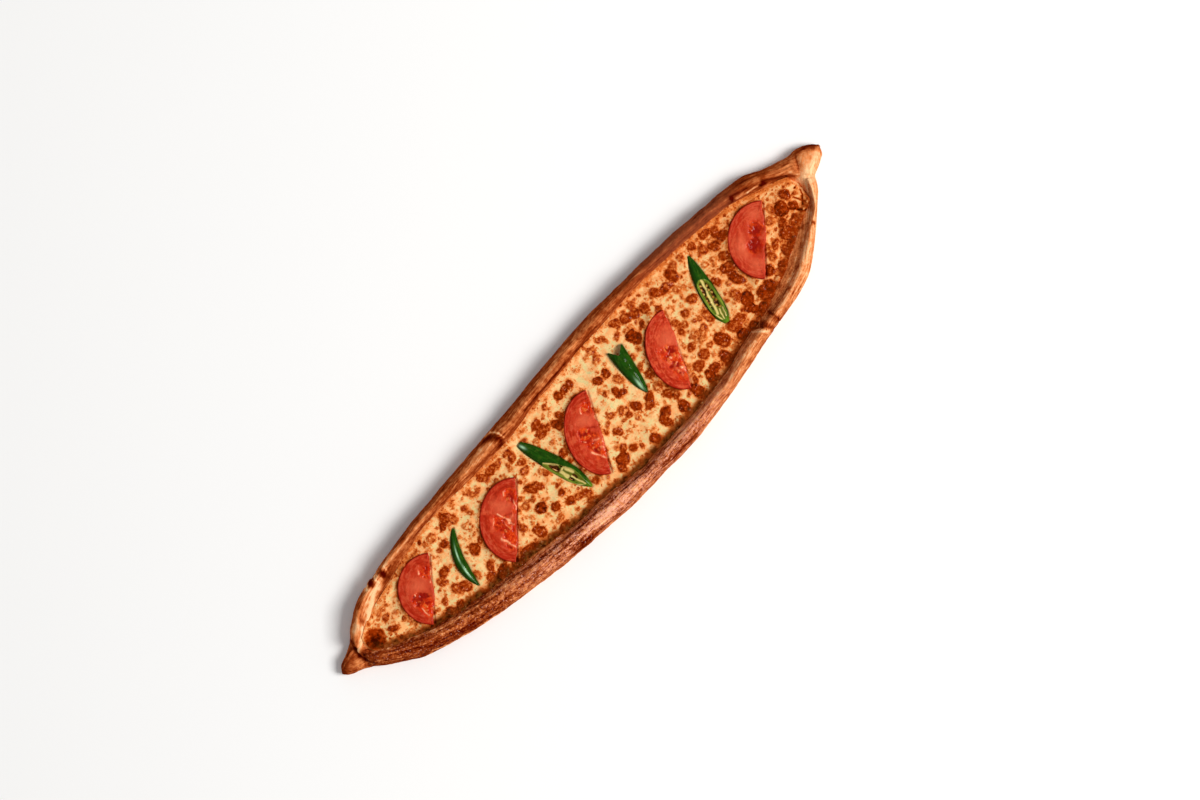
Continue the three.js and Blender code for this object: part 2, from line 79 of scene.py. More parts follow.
OUTER_HIGH = [
    (-250, 17), (-246, 21.5), (-237, 25), (-230, 28.5), (-220, 35.5), (-202, 44.5), (-181, 48),
    (-139, 52), (-83, 54), (-20, 55.5), (36, 57.5), (71, 56.5), (127, 52), (155, 49.2), (183, 45.4),
    (197, 42), (211, 34.5), (225, 29.2), (237, 26.5), (245, 22.5), (250, 17),
]
OUTER_LOW = [
    (-250, 17), (-246, 12.5), (-237, 8), (-230, 2.8), (-216, -8), (-202, -18), (-181, -26), (-153, -34.5),
    (-111, -43.7), (-69, -50.5), (-20, -55.4), (36, -57.5), (71, -55.2), (99, -51.5), (127, -47),
    (155, -44), (176, -39), (190, -31.2), (204, -21), (218, -10.4), (228, -1.5), (232, 4.5), (240, 7.5),
    (247, 11), (250, 17),
]
INNER_HIGH = [
    (-250, 19.5), (-229, 20.5), (-223, 24), (-209, 34.5), (-195, 40), (-167, 44), (-139, 45), (-83, 43.2),
    (-56, 41.8), (-20, 45), (36, 47.3), (85, 47), (127, 43.8), (155, 40.3), (183, 34), (204, 27),
    (218, 18.5), (226, 14), (250, 14),
]
INNER_LOW = [
    (-250, 15.5), (-229, 16), (-223, 11.5), (-209, 2.5), (-188, -8), (-160, -17), (-118, -26.2),
    (-69, -35.3), (-34, -39), (1, -43.7), (50, -45), (85, -43.8), (106, -39.8), (141, -36.3),
    (162, -32.5), (183, -24.8), (204, -13.6), (214, -8), (220, 0), (226, 10), (250, 10),
]
RIM_TOP = [
    (-250, 16), (-232, 17), (-224, 19.5), (-200, 21), (-140, 22.2), (0, 23.2), (120, 22.8), (190, 21.5),
    (215, 20.8), (230, 20), (250, 16),
]
RIPPLES = [(71, 0.5, 12), (37, 0.4, -5), (23, 0.3, 8)]  # wave length, height, shift
TAIL_TOP = [
    (-250, 7), (-246, 10.5), (-241, 12.8), (-236, 12.4), (-232.5, 10), (-226, 14), (0, 20), (222, 20.5),
    (232, 19), (240, 16.5), (246, 13), (250, 8.5),
]
TAIL_LIFT = [
    (-250, 3), (-241, 1.9), (-220, 1.1), (-180, 0.35), (-150, 0), (150, 0), (180, 0.35), (220, 1.2),
    (241, 2.2), (250, 3.6),
]
OPENING_FROM, OPENING_TO, OPENING_RUN = -229.0, 226.0, 15.0
TAILS = ((-233.5, -227.5), (223.0, 234.0))
SHELF_HIGH = [
    (-250, 1.5), (-222, 3), (-208, 8), (-180, 8.5), (-160, 6), (-145, 3), (-130, 1.8), (180, 1.8),
    (200, 4), (220, 2), (250, 1.5),
]
SHELF_LOW = [
    (-250, 1.5), (-200, 2), (-120, 3), (-90, 5), (-60, 2), (100, 2), (125, 3), (150, 6), (185, 8),
    (205, 6), (220, 3), (250, 1.5),
]
RIM_SECTION = [
    (0, 0.3), (0.08, 0.55), (0.24, 0.79), (0.45, 0.95), (0.66, 1), (0.87, 0.94), (1, 0.8),
]

# How finely the crust is meshed: steps between the points of a wall's section, from its foot to
# the cheese, steps under the cheese and steps over the bottom.
WALL_STEPS = (3, 4, 6, 6, 6, 6, 5, 4, 8, 4)
FLOOR_STEPS = (2, 2, 2, 2, 2, 2)
BOTTOM_STEPS = 11
CRUST_STATIONS = 700
STATION_SAMPLES = 4001
FLOOR_POINTS = 5
FOOT_ANGLE = math.radians(42)

# Places on the pide are also given in steps of a layout grid, along and across the boat.
GRID_STEP = 0.6993
GRID_SHIFT = (1.5, 24.5)

# Where one end of the rim's dough laps over the other. The lapping end stands proud by lift and
# fades out over fade behind its edge.
LAPS = {
    1: {"x": -52, "y": 46.5, "lift": 2, "fade": 26},
    -1: {"x": 121.3, "y": -33.9, "lift": 2.2, "fade": 30},
}
LAP_DROP = 1.2  # half the width over which a lap's edge drops
# Where the crust's sections crowd: x, how much closer they lie there, and how far it reaches.
CROWDED_STATIONS = [
    (-HALF_LENGTH, 1.4, 12), (HALF_LENGTH, 1.4, 12), (LAPS[1]["x"], 1.3, 9),
    (LAPS[-1]["x"], 1.3, 9), (TAILS[0][0], 1.2, 6),
]
UPPER_LAP_ROUNDING = (11.0, 5.94)  # how far its end draws back, this far from its middle
LOWER_LAP_SLANT = 0.842

# Folds and cracks along the rim: side, from x, to x, share of the wall's section, depth, width.
FOLDS = [
    (1, -34, 62, 0.79, 0.7, 0.7), (1, -160, -90, 0.6, 0.35, 0.6), (1, -40, 30, 0.42, 0.3, 0.5),
    (1, 90, 200, 0.66, 0.4, 0.6), (1, 40, 120, 0.5, 0.3, 0.5), (1, 170, 222, 0.45, 0.4, 0.7),
    (1, -236, -205, 0.5, 0.3, 0.7), (1, -110, -70, 0.36, 0.3, 0.5), (1, 176, 216, 0.82, 0.5, 0.6),
    (-1, -226, -120, 0.68, 0.5, 0.7), (-1, -170, -60, 0.52, 0.5, 0.6), (-1, -120, 60, 0.74, 0.6, 0.7),
    (-1, -70, 60, 0.42, 0.5, 0.6), (-1, 10, 112, 0.57, 0.5, 0.6), (-1, -130, -30, 0.34, 0.5, 0.5),
    (-1, 40, 100, 0.36, 0.5, 0.6), (-1, 140, 190, 0.5, 0.4, 0.6), (-1, 192, 222, 0.62, 0.3, 0.6),
]

FOLD_FADE = 14  # run over which a fold starts and ends

# Blisters and lumps of the crust in grid steps: place, radius, height, how burnt.
CRUST_LUMPS = [
    (-270, 39, 4.2, 1.6, 0.5), (-256, 36.5, 4, 1.3, 0.5), (-263, 41, 4, -1.1, -0.2),
    (-277, 42, 3, -0.8, -0.2), (-249, 38, 3.5, -0.9, -0.1), (-316, 19, 7.5, 1, -0.08),
    (-309, 21, 5, 0.8, 0), (-323, 15, 4, 0.7, 0.12), (286, 16, 2.6, 1, 0.34), (289, 18, 2.2, 0.8, 0.3),
    (254, 28, 2.4, 0.9, 0.36), (196, -86, 3.4, 0.9, 0.3), (184, -81, 4, 0.9, 0.25),
    (-95, -92, 9, 0.7, 0.1), (20, -97, 9, 0.5, 0.05), (140, -92, 5, 0.7, 0.1), (240, 33, 8, 0.4, 0),
    (225, 43, 7, 0.4, 0.05),
]

# Browned and pale washes on the crust in grid steps: place, half sizes, turn in degrees, how much
# browner in per cent.
CRUST_WASHES = [
    # the narrow left tail and the ring behind it
    (-346, 4, 14, 3, 22, 8), (-357, 1, 4, 5, 0, 12), (-341, -4, 6, 3, -30, -10),
    (-338, -9, 6, 4, -55, -20), (-326, -7, 4, 8, 25, 12), (-318, 19, 9, 4.5, 25, -20),
    (-306, 19, 1.6, 4, -20, 30), (-322, -16, 10, 4, -42, 6),
    # the wide pale face inside the high rim, and the rim above it
    (-289, 24.5, 24, 6, 24, -40), (-266, 33, 16, 3.5, 14, -34), (-292, 36, 22, 2.5, 28, 6),
    (-262, 46, 5, 3, 0, -30), (-279, 41, 3, 4, 40, -26), (-248, 42, 5, 3, 0, -20),
    (-240, 40, 12, 2.5, 4, -20), (-215, 41, 18, 2, 3, -28), (-190, 42, 14, 1.8, 2, -20),
    # the low rim from left to right
    (-262, -60, 30, 3.5, -30, 6), (-205, -84, 26, 3, -14, 10), (-178, -80, 18, 3.5, -12, -12),
    (-140, -84, 14, 3, -8, -20), (-128, -70, 22, 5, -9, -8), (-110, -92, 14, 4, -4, 10),
    (-95, -93, 12, 4, -3, 26), (-84, -86, 12, 4, -3, -22), (-60, -90, 22, 4, -4, -20),
    (-30, -95, 22, 4, -3, -12), (14, -100, 14, 4, 0, 12), (30, -92, 18, 4, 0, -10),
    (45, -101, 18, 3.5, 0, 24), (60, -90, 24, 4, 0, -12), (98, -90, 26, 4, 4, -8),
    (126, -86, 16, 3, 6, 5), (150, -84, 20, 5, 8, -10),
    # the lower lap and the small burnt spots round it
    (146, -94, 3, 2, 0, 34), (166, -92, 7, 1.6, 6, 20), (185, -90, 2.6, 2.6, 0, 30),
    (206, -87, 7, 1.6, 10, 26), (226, -74, 2.4, 2.4, 20, 36), (184, -81, 4, 5, 20, 24),
    (196, -77, 3, 3, 0, 24), (230, -78, 12, 2, 18, 12), (215, -74, 10, 1.6, 12, 14),
    # the pale low side of the wide right end
    (240, -70, 30, 5, 25, -10), (275, -52, 24, 4, 38, -8), (305, -30, 16, 4, 48, -6),
    (292, -48.5, 1.6, 1.6, 0, 50), (280, -42, 3, 2, 30, 40), (215, -66, 20, 5, 10, 18),
    (262, -55, 22, 5, 26, 18), (288, -39, 16, 5, 42, 15), (302, -22, 10, 5, 60, 10),
    (248, -66, 3, 1.4, 20, 20),
    # the high rim from left to right
    (-110, 43, 20, 3, 0, -20), (-130, 52, 20, 2, 0, -10), (-60, 44, 16, 3, 0, -8),
    (-40, 52, 22, 2.5, 2, 6), (-10, 47, 26, 3, 2, -10), (40, 50, 34, 3, 0, -10), (20, 58, 40, 2, 0, 6),
    (110, 43, 30, 2, -2, -6), (150, 47, 40, 3, -6, 6), (215, 42, 26, 3, -12, 6), (262, 29, 18, 3, -30, 6),
    (254, 28, 1.6, 2, 0, 30),
    # the right tail
    (318, -7, 4, 4, 0, -10), (334, 11, 12, 3, -20, 16), (345, 8, 10, 3.5, -35, 26),
    (353, 3, 4, 4, -50, 42), (330, -10, 16, 4.5, 18, -24), (346, -4, 12, 3, 25, -16),
    (322, -18, 4, 9, -30, -10), (326, 14, 8, 2, -10, -10),
]

# Creases and pale edges of the crust in grid steps: from, to, half width, browning, height.
CRUST_LINES = [
    # the crease behind the left tail and the pale fold over it
    (-326.5, 15, -331, 7, 1.6, 0.4, -0.5), (-331, 7, -333.5, -1, 1.6, 0.4, -0.5),
    (-333.5, -1, -333, -7, 1.6, 0.36, -0.5), (-333, -7, -328.5, -16, 1.5, 0.34, -0.4),
    (-330, 3, -320, 8, 1.9, -0.5, 0.5), (-320, 8, -310, 16, 1.6, -0.5, 0.5),
    (-322, -8, -307, -16.5, 1.2, -0.34, 0.2), (-307, -16.5, -292, -22.5, 1.2, -0.34, 0.2),
    # the burnt notches of the high rim
    (-271.5, 36, -268, 42.5, 2.2, 0.4, -0.6), (-257, 33, -255, 39.5, 2, 0.4, -0.5),
    (-278, 38, -270.5, 46, 0.8, -0.5, 0.5), (-265, 33.5, -264, 43, 0.9, -0.45, 0.5),
    (-261, 42, -260, 34, 0.8, -0.3, 0.3), (-251, 33, -249, 41, 0.8, -0.3, 0.3),
    (-304, 18.5, -282, 30, 0.8, 0.3, -0.3), (-300, 15, -272, 28.5, 0.8, 0.24, -0.3),
    (-306, 15, -284, 25, 1, -0.3, 0.3), (-296, 22.5, -268, 33, 1, -0.3, 0.3),
    (-284, 21, -250, 31, 0.9, 0.2, -0.2), (-270, 34, -244, 36.5, 0.8, 0.2, -0.2),
    # the scorched end of the upper lap, and its pale edge
    (-98, 51.2, -90, 50.6, 1.1, 0.24, -0.2), (-90, 50.6, -83, 48.2, 2.2, 0.22, -0.1),
    (-83, 48.2, -78.4, 43.4, 3.3, 0.2, 0.2), (-78.4, 43.4, -77.6, 39, 3.4, 0.2, 0.3),
    (-77.6, 39, -81.5, 34.5, 2.8, 0.24, 0.1), (-90, 54, -79, 51.5, 0.9, -0.34, 0),
    (-79, 51.5, -73.4, 44.5, 1, -0.4, 0), (-73.4, 44.5, -73, 38, 0.9, -0.3, 0),
    (-114, 46, -98, 47.5, 1.6, -0.2, 0.2), (-98, 47.5, -86, 43.5, 2.4, -0.2, 0.3),
    # the smooth inner wall and the layers of the low rim
    (-182, -66, -128, -71, 0.8, 0.16, -0.3), (-128, -71, -60, -82.5, 0.8, 0.16, -0.3),
    (-60, -82.5, 10, -89.5, 0.8, 0.1, -0.3), (-176, -73, -110, -81, 0.7, 0.24, -0.3),
    (-160, -80, -96, -87.5, 0.7, 0.22, -0.3), (-120, -78, -40, -90, 0.6, 0.18, -0.2),
    (-90, -96, -20, -99, 0.7, 0.2, -0.3), (20, -95, 90, -93.5, 0.7, 0.2, -0.3),
    (-262, -57, -205, -76, 0.9, 0.2, -0.3), (-306, -28, -262, -56, 0.9, 0.22, -0.3),
    (-281, -52, -259, -62, 1, -0.5, 0), (-259, -62, -236, -69.5, 1, -0.5, 0),
    (-230, -71, -205, -77.5, 1, -0.5, 0), (-292, -24, -256, -42, 1.3, -0.32, 0.4),
    (-256, -42, -216, -55, 1.3, -0.3, 0.4), (-216, -55, -180, -62, 1.3, -0.26, 0.3),
    (-312, -22, -270, -49, 1.6, 0.2, -0.4), (-270, -49, -232, -64, 1.6, 0.2, -0.4),
    (-232, -64, -180, -74, 1.4, 0.18, -0.3),
    # the lower lap
    (172, -73, 180, -80, 1.2, 0.24, -0.5), (180, -80, 188, -89, 1.3, 0.24, -0.5),
    (196.5, -74, 197.5, -86, 1.2, 0.3, -0.4), (197.5, -86, 196, -98, 0.9, 0.3, -0.3),
    (170, -76, 180, -86, 0.9, -0.24, 0.3),
    # the ridge along the inner edge of the high rim's right end
    (255, 31, 272, 25, 1.2, 0.24, -0.3), (259, 25, 271, 21.5, 1.3, -0.5, 0.3),
    (271, 21.5, 282, 17.5, 1.2, -0.5, 0.3), (285, 17, 289, 13.5, 1.3, 0.24, 0.3),
    (311, -11, 309, -22, 1.1, 0.3, -0.3), (284, 14, 304, 0, 1.2, -0.24, 0.4),
    (288, 17.5, 308, 2.5, 1.1, 0.26, -0.4), (308, 2.5, 318, -6, 1.1, 0.3, -0.4),
    (313, 3.5, 318.5, -5, 1.2, -0.3, 0.4), (322, -13, 305, -32, 1.3, 0.12, 0),
    # along the inner edge of the high rim
    (-40, 40.6, 20, 41.4, 1, 0.22, -0.2), (20, 41.4, 80, 40.4, 1, 0.22, -0.2),
    (80, 40.4, 130, 37.4, 1, 0.14, -0.2),
]

# How browned the rim is along each side.
BAKE_HIGH = [
    (-250, 0.6), (-232, 0.58), (-222, 0.5), (-205, 0.5), (-185, 0.56), (-140, 0.58), (-60, 0.54),
    (0, 0.54), (60, 0.54), (110, 0.6), (160, 0.63), (200, 0.6), (222, 0.48), (236, 0.44), (250, 0.64),
]
BAKE_LOW = [
    (-250, 0.56), (-232, 0.58), (-210, 0.62), (-160, 0.61), (-110, 0.45), (-60, 0.37), (0, 0.34),
    (60, 0.33), (100, 0.32), (125, 0.34), (140, 0.34), (160, 0.3), (185, 0.24), (205, 0.22), (225, 0.2),
    (240, 0.22), (250, 0.4),
]
# How strongly the browning varies from place to place.
GRAIN_HIGH = [
    (-250, 0.5), (-225, 0.45), (-180, 0.6), (-60, 0.56), (80, 0.5), (120, 0.4), (220, 0.4), (250, 0.4),
]
GRAIN_LOW = [
    (-250, 0.5), (-220, 1), (-140, 1.1), (-100, 0.76), (40, 0.62), (90, 0.7), (180, 0.7), (250, 0.5),
]
# How far it varies in stripes instead of speckles, and how many painted glints lie where it is oily.
STRIPES_LOW = [
    (-250, 0.5), (-225, 0.5), (-150, 0.45), (-100, 0.6), (40, 0.8), (120, 0.7), (250, 0.7),
]
OIL_AND_GLINT_LOW = [
    (-250, 0), (-190, 0.4), (-130, 0.5), (-95, 0.9), (-50, 0.9), (0, 0.3), (60, 0.1), (250, 0),
]
# How browned the middle of the crust is, which shows in the tails.
BAKE_MIDDLE = [
    (-250, 0.66), (-236, 0.64), (-226, 0.46), (215, 0.34), (228, 0.3), (240, 0.36), (250, 0.55),
]
# How the browning changes over a wall's section, from the foot to the cheese.
BAKE_ACROSS_HIGH = [
    (0, -0.1), (0.1, 0), (0.22, 0.06), (0.32, 0.08), (0.45, 0.02), (0.56, -0.05), (0.68, -0.03),
    (0.79, 0.08), (0.86, 0), (0.93, -0.1), (1, -0.14),
]
BAKE_ACROSS_LOW = [
    (0, -0.2), (0.1, -0.14), (0.2, -0.04), (0.3, 0.06), (0.45, 0.02), (0.58, -0.04), (0.7, 0),
    (0.8, 0.06), (0.88, 0.06), (0.95, 0.06), (1, 0.1),
]

# ---- The melted cheese

CHEESE_FROM, CHEESE_TO = -224.0, 219.0
CHEESE_LUMPS = {"count": 90, "seed": 41, "radius": (5, 8.5), "height": (0.5, 1.5)}
LUMPS_FROM, LUMPS_TO = CHEESE_FROM + 14, CHEESE_TO - 10
LUMPS_INSET = 3  # from the walls
LUMPS_TALLEST = 2.0  # where they overlap
SCORCHED = {"x": -214.6, "y": 16.2, "radius": 7.2}  # the burnt place by the narrow end
CHEESE_EDGE = (1.1, 5.0)  # rise at the walls, over this width
CHEESE_ENDS = (3.0, 22.0)  # rise at the ends, over this length
CHEESE_TUCK = 1.3  # how far its edges reach into the walls
# How browned the cheese's edge is along the low wall; this also paints part of the wall's shadow.
LOW_EDGE = [
    (-224, 0.3), (-190, 0.45), (-160, 0.62), (-100, 0.62), (-60, 0.5), (0, 0.46), (60, 0.46), (120, 0.44),
    (180, 0.42), (219, 0.3),
]
# How deep the painted shade along the low wall is.
LOW_SHADE = [
    (-224, 0.3), (-200, 0.9), (-100, 0.95), (-40, 0.95), (60, 0.78), (110, 0.36), (150, 0.2), (219, 0.25),
]
CHEESE_COLUMNS, CHEESE_ROWS = 680, 130

# The larger brown blisters of the cheese in grid steps: place, radius, how dark in per cent.
BLISTERS = [
    (-286, 5, 4, 62), (-289, -8, 4.5, 70), (-277, 21, 5, 62), (-270, 25, 4, 55), (-283, 14, 3, 55),
    (-276, 2, 2.5, 40), (-290, -20, 2.2, 100), (-208, 32, 4.5, 80), (-228, 31, 4.5, 66),
    (-236, 28, 4, 55), (-218, 29, 4, 50), (-197, 24, 5, 50), (-193, 11, 4.5, 75), (-201, 10, 3, 60),
    (-214, -8, 5.5, 70), (-223, -13, 4.5, 60), (-235, -28, 4, 60), (-218, -27, 5, 65),
    (-210, -33, 6.5, 72), (-193, -34, 4, 50), (-185, -45, 5, 70), (-238, -40, 6, 75), (-228, -44, 6, 78),
    (-173, 29, 7, 70), (-180, 24, 4.5, 70), (-168, 21, 5, 55), (-158, 34, 4, 66), (-139, 29, 4.5, 50),
    (-119, 29, 6.5, 66), (-107, 27, 6.5, 68), (-98, 25, 4, 55), (-153, 20, 3.5, 62), (-137, 22, 3.5, 42),
    (-82, 27, 4.5, 62), (-83, 19, 5, 64), (-80, 8, 4.2, 60), (-85, 0, 4.8, 62), (-96, -4, 2.5, 66),
    (-93, -17, 6, 72), (-87, -20, 5, 68), (-109, -15, 3.2, 60), (-110, -24, 4.5, 50), (-117, -22, 3, 45),
    (-101, -37, 6.2, 86), (-90, -47, 5, 72), (-76, -42, 4, 68), (-73, -34, 2.4, 60), (-128, -37, 4.6, 60),
    (-119, -52, 6.5, 76), (-141, -57, 8, 82), (-176, -15, 6.5, 76), (-165, -13, 4, 66),
    (-178, -38, 5, 62), (-174, -52, 7, 82), (-158, -57, 6, 78), (-43, 22, 5.5, 70), (-44, 14, 6.5, 72),
    (-38, 12, 4.2, 68), (-54, 11, 3, 40), (-59, 31, 3.6, 50), (-24, 28, 3, 60), (-18, 33, 2.6, 50),
    (-6, 25, 4.6, 76), (-27, 6, 6.5, 78), (-20, 11, 4.5, 70), (-46, -17, 5, 66), (-39, -17, 5, 60),
    (-47, -27, 3, 60), (-72, -17, 4, 62), (-76, -54, 5, 72), (-67, -57, 4.4, 60), (-96, -58, 4, 48),
    (-59, -61, 5, 64), (-44, -59, 4.2, 60), (-44, -42, 4, 55), (-10, -65, 7, 76), (-17, -70, 5, 72),
    (-2, -58, 4, 70), (2, 25, 4.6, 76), (9, 25, 4.8, 74), (61, 34, 3.4, 60), (66, 29, 3.2, 55),
    (49, 31, 4.4, 48), (46, 22, 4.6, 46), (31, 6, 4.8, 80), (42, 5, 4.8, 80), (26, -8, 3.2, 62),
    (35, -16, 5, 74), (40, -20, 4, 72), (46, -8, 5, 52), (14, -27, 4, 68), (25, -31, 3.8, 66),
    (27, -40, 3.8, 66), (38, -39, 5.4, 72), (7, -43, 5, 72), (53, -44, 5.4, 74), (48, -49, 4.8, 66),
    (67, -42, 5, 50), (70, -55, 6, 68), (73, -61, 4.5, 66), (52, -66, 6.5, 74), (47, -71, 6, 74),
    (27, -75, 6, 76), (5, -65, 4.5, 66), (13, -70, 3, 60), (84, 34, 6, 66), (96, 27, 6, 68),
    (106, 24, 5.8, 70), (109, 33, 5, 60), (116, 20, 5.6, 68), (77, 22, 3.5, 62), (87, 12, 6, 82),
    (89, 5, 5.8, 82), (103, 11, 3.6, 66), (73, -28, 6, 70), (70, -16, 3.4, 55), (72, -4, 3.5, 55),
    (135, 22, 5.8, 70), (145, 18, 5.8, 72), (159, 22, 7, 74), (166, 27, 5, 55), (178, 28, 4.6, 50),
    (125, 9, 4, 62), (151, 8, 4, 50), (126, -14, 4.6, 62), (131, -21, 4, 60), (140, -14, 4.5, 64),
    (124, -23, 3.8, 62), (155, -9, 5, 66), (145, -28, 3, 62), (153, -32, 6, 60), (119, -41, 4.6, 62),
    (130, -35, 4.6, 48), (140, -38, 5, 55), (133, -43, 4.4, 46), (122, -55, 6, 68), (110, -59, 6, 68),
    (145, -59, 8, 80), (133, -53, 3.6, 60), (135, -73, 6.5, 78), (119, -72, 6, 74), (110, -75, 6.5, 84),
    (91, -74, 7, 78), (70, -75, 6.5, 80), (97, -66, 3.6, 62), (163, -59, 7, 64), (172, -58, 6, 60),
    (163, -70, 6, 84), (177, -72, 5, 84), (194, 28, 5.6, 68), (212, 26, 6, 72), (220, 19, 5.4, 68),
    (228, 25, 3, 60), (209, 10, 5.6, 72), (222, 11, 6, 76), (199, 16, 5, 60), (209, -5, 6, 70),
    (203, -15, 7, 76), (200, -28, 7, 78), (184, -16, 5, 72), (281, -15, 8, 84), (294, -8, 6, 72),
    (292, -22, 5, 74), (265, -15, 4.8, 52), (274, -8, 4.2, 50), (268, -36, 8, 72), (272, -26, 5.4, 68),
    (254, -46, 5, 66), (251, -35, 4.6, 68), (240, -40, 4.6, 60), (228, -48, 5.6, 78), (192, -50, 7.5, 84),
    (188, -59, 6.5, 84), (209, -59, 8.5, 82), (218, -56, 5, 80), (187, -40, 6, 60), (240, -55, 6, 74),
    (262, -47, 5, 72), (282, -32, 5, 70), (196, -68, 6, 80), (214, -66, 7, 74), (286, -42, 3, 85),
    (300, -38, 2.6, 85), (-150, -60, 5, 70), (-134, -60, 5, 72), (-100, -68, 6, 72), (-60, -70, 5, 60),
    (90, 40, 4, 35),
]
# Burnt lines in the cheese by the narrow end, in grid steps: from, to, half width, how dark.
BURNT_LINES = [
    (261, 18.5, 270, 17, 0.7, 0.8), (270, 17, 280, 12.5, 0.8, 0.85), (262, 14.5, 277, 10, 0.6, 0.55),
    (282.6, 6, 283, 6, 0.9, 0.75), (289, 4.2, 289.4, 4.2, 0.9, 0.8), (305.7, -11, 306.1, -11, 1.2, 1),
    (308.2, -16, 306.4, -21, 1, 0.7), (306.4, -21, 298.7, -28, 1.1, 0.75),
    (284, -17, 293, -29, 1.4, 0.85), (293, -29, 300, -38, 1.6, 0.9), (298, -16, 303, -28, 1, 0.7),
]
SMALL_BLISTERS = {"count": 620, "seed": 7, "radius": (0.9, 2.2), "dark": (0.3, 0.62)}
SPARSE = {"up to": 60, "share": 0.62}  # only that share of the small blisters is kept up to that x
TRIES = 20  # places tried for each small blister
CROWDING = 0.8  # blisters lie at least this share of their two radii apart
MOSTLY_SMALL = 2.2  # the more, the rarer are the large ones among the small blisters
BLISTER_RISE = 0.36  # a blister's height, as a share of its radius
BLISTER_TALLEST = 1.15
HOLLOW_FROM = 2.2  # blisters wider than this sink in the middle
OUTSIDE = -3.0  # how far inside a blister a point counts that is in none

# ---- Tomato and pepper, as in the CAD model

TOMATO_THICKNESS = 5.6
TOMATO_SEAT = 11.4  # height of the slices' undersides
TOMATO_CENTRE = 0.36  # its rings draw together at this share of the depth
TOMATO_BULGE = 0.15  # of its edge
TOMATO_ROUNDING = 1.1  # of the top's edge
TOMATO_FOOT = 0.8  # rounding of the bottom's edge
TOMATO_SEED = 3  # of its random numbers
FLESH_DEPTH = 14  # under the skin, where the flesh has its innermost colour
SEED_HALVES = (1.6, 0.9)  # half sizes of a seed
SEED_ROOM = 60  # a pocket has "seeds" seeds for each of this product of its half sizes
TOMATO_RINGS, TOMATO_TOP_RINGS, TOMATO_AROUND = 80, 60, 224
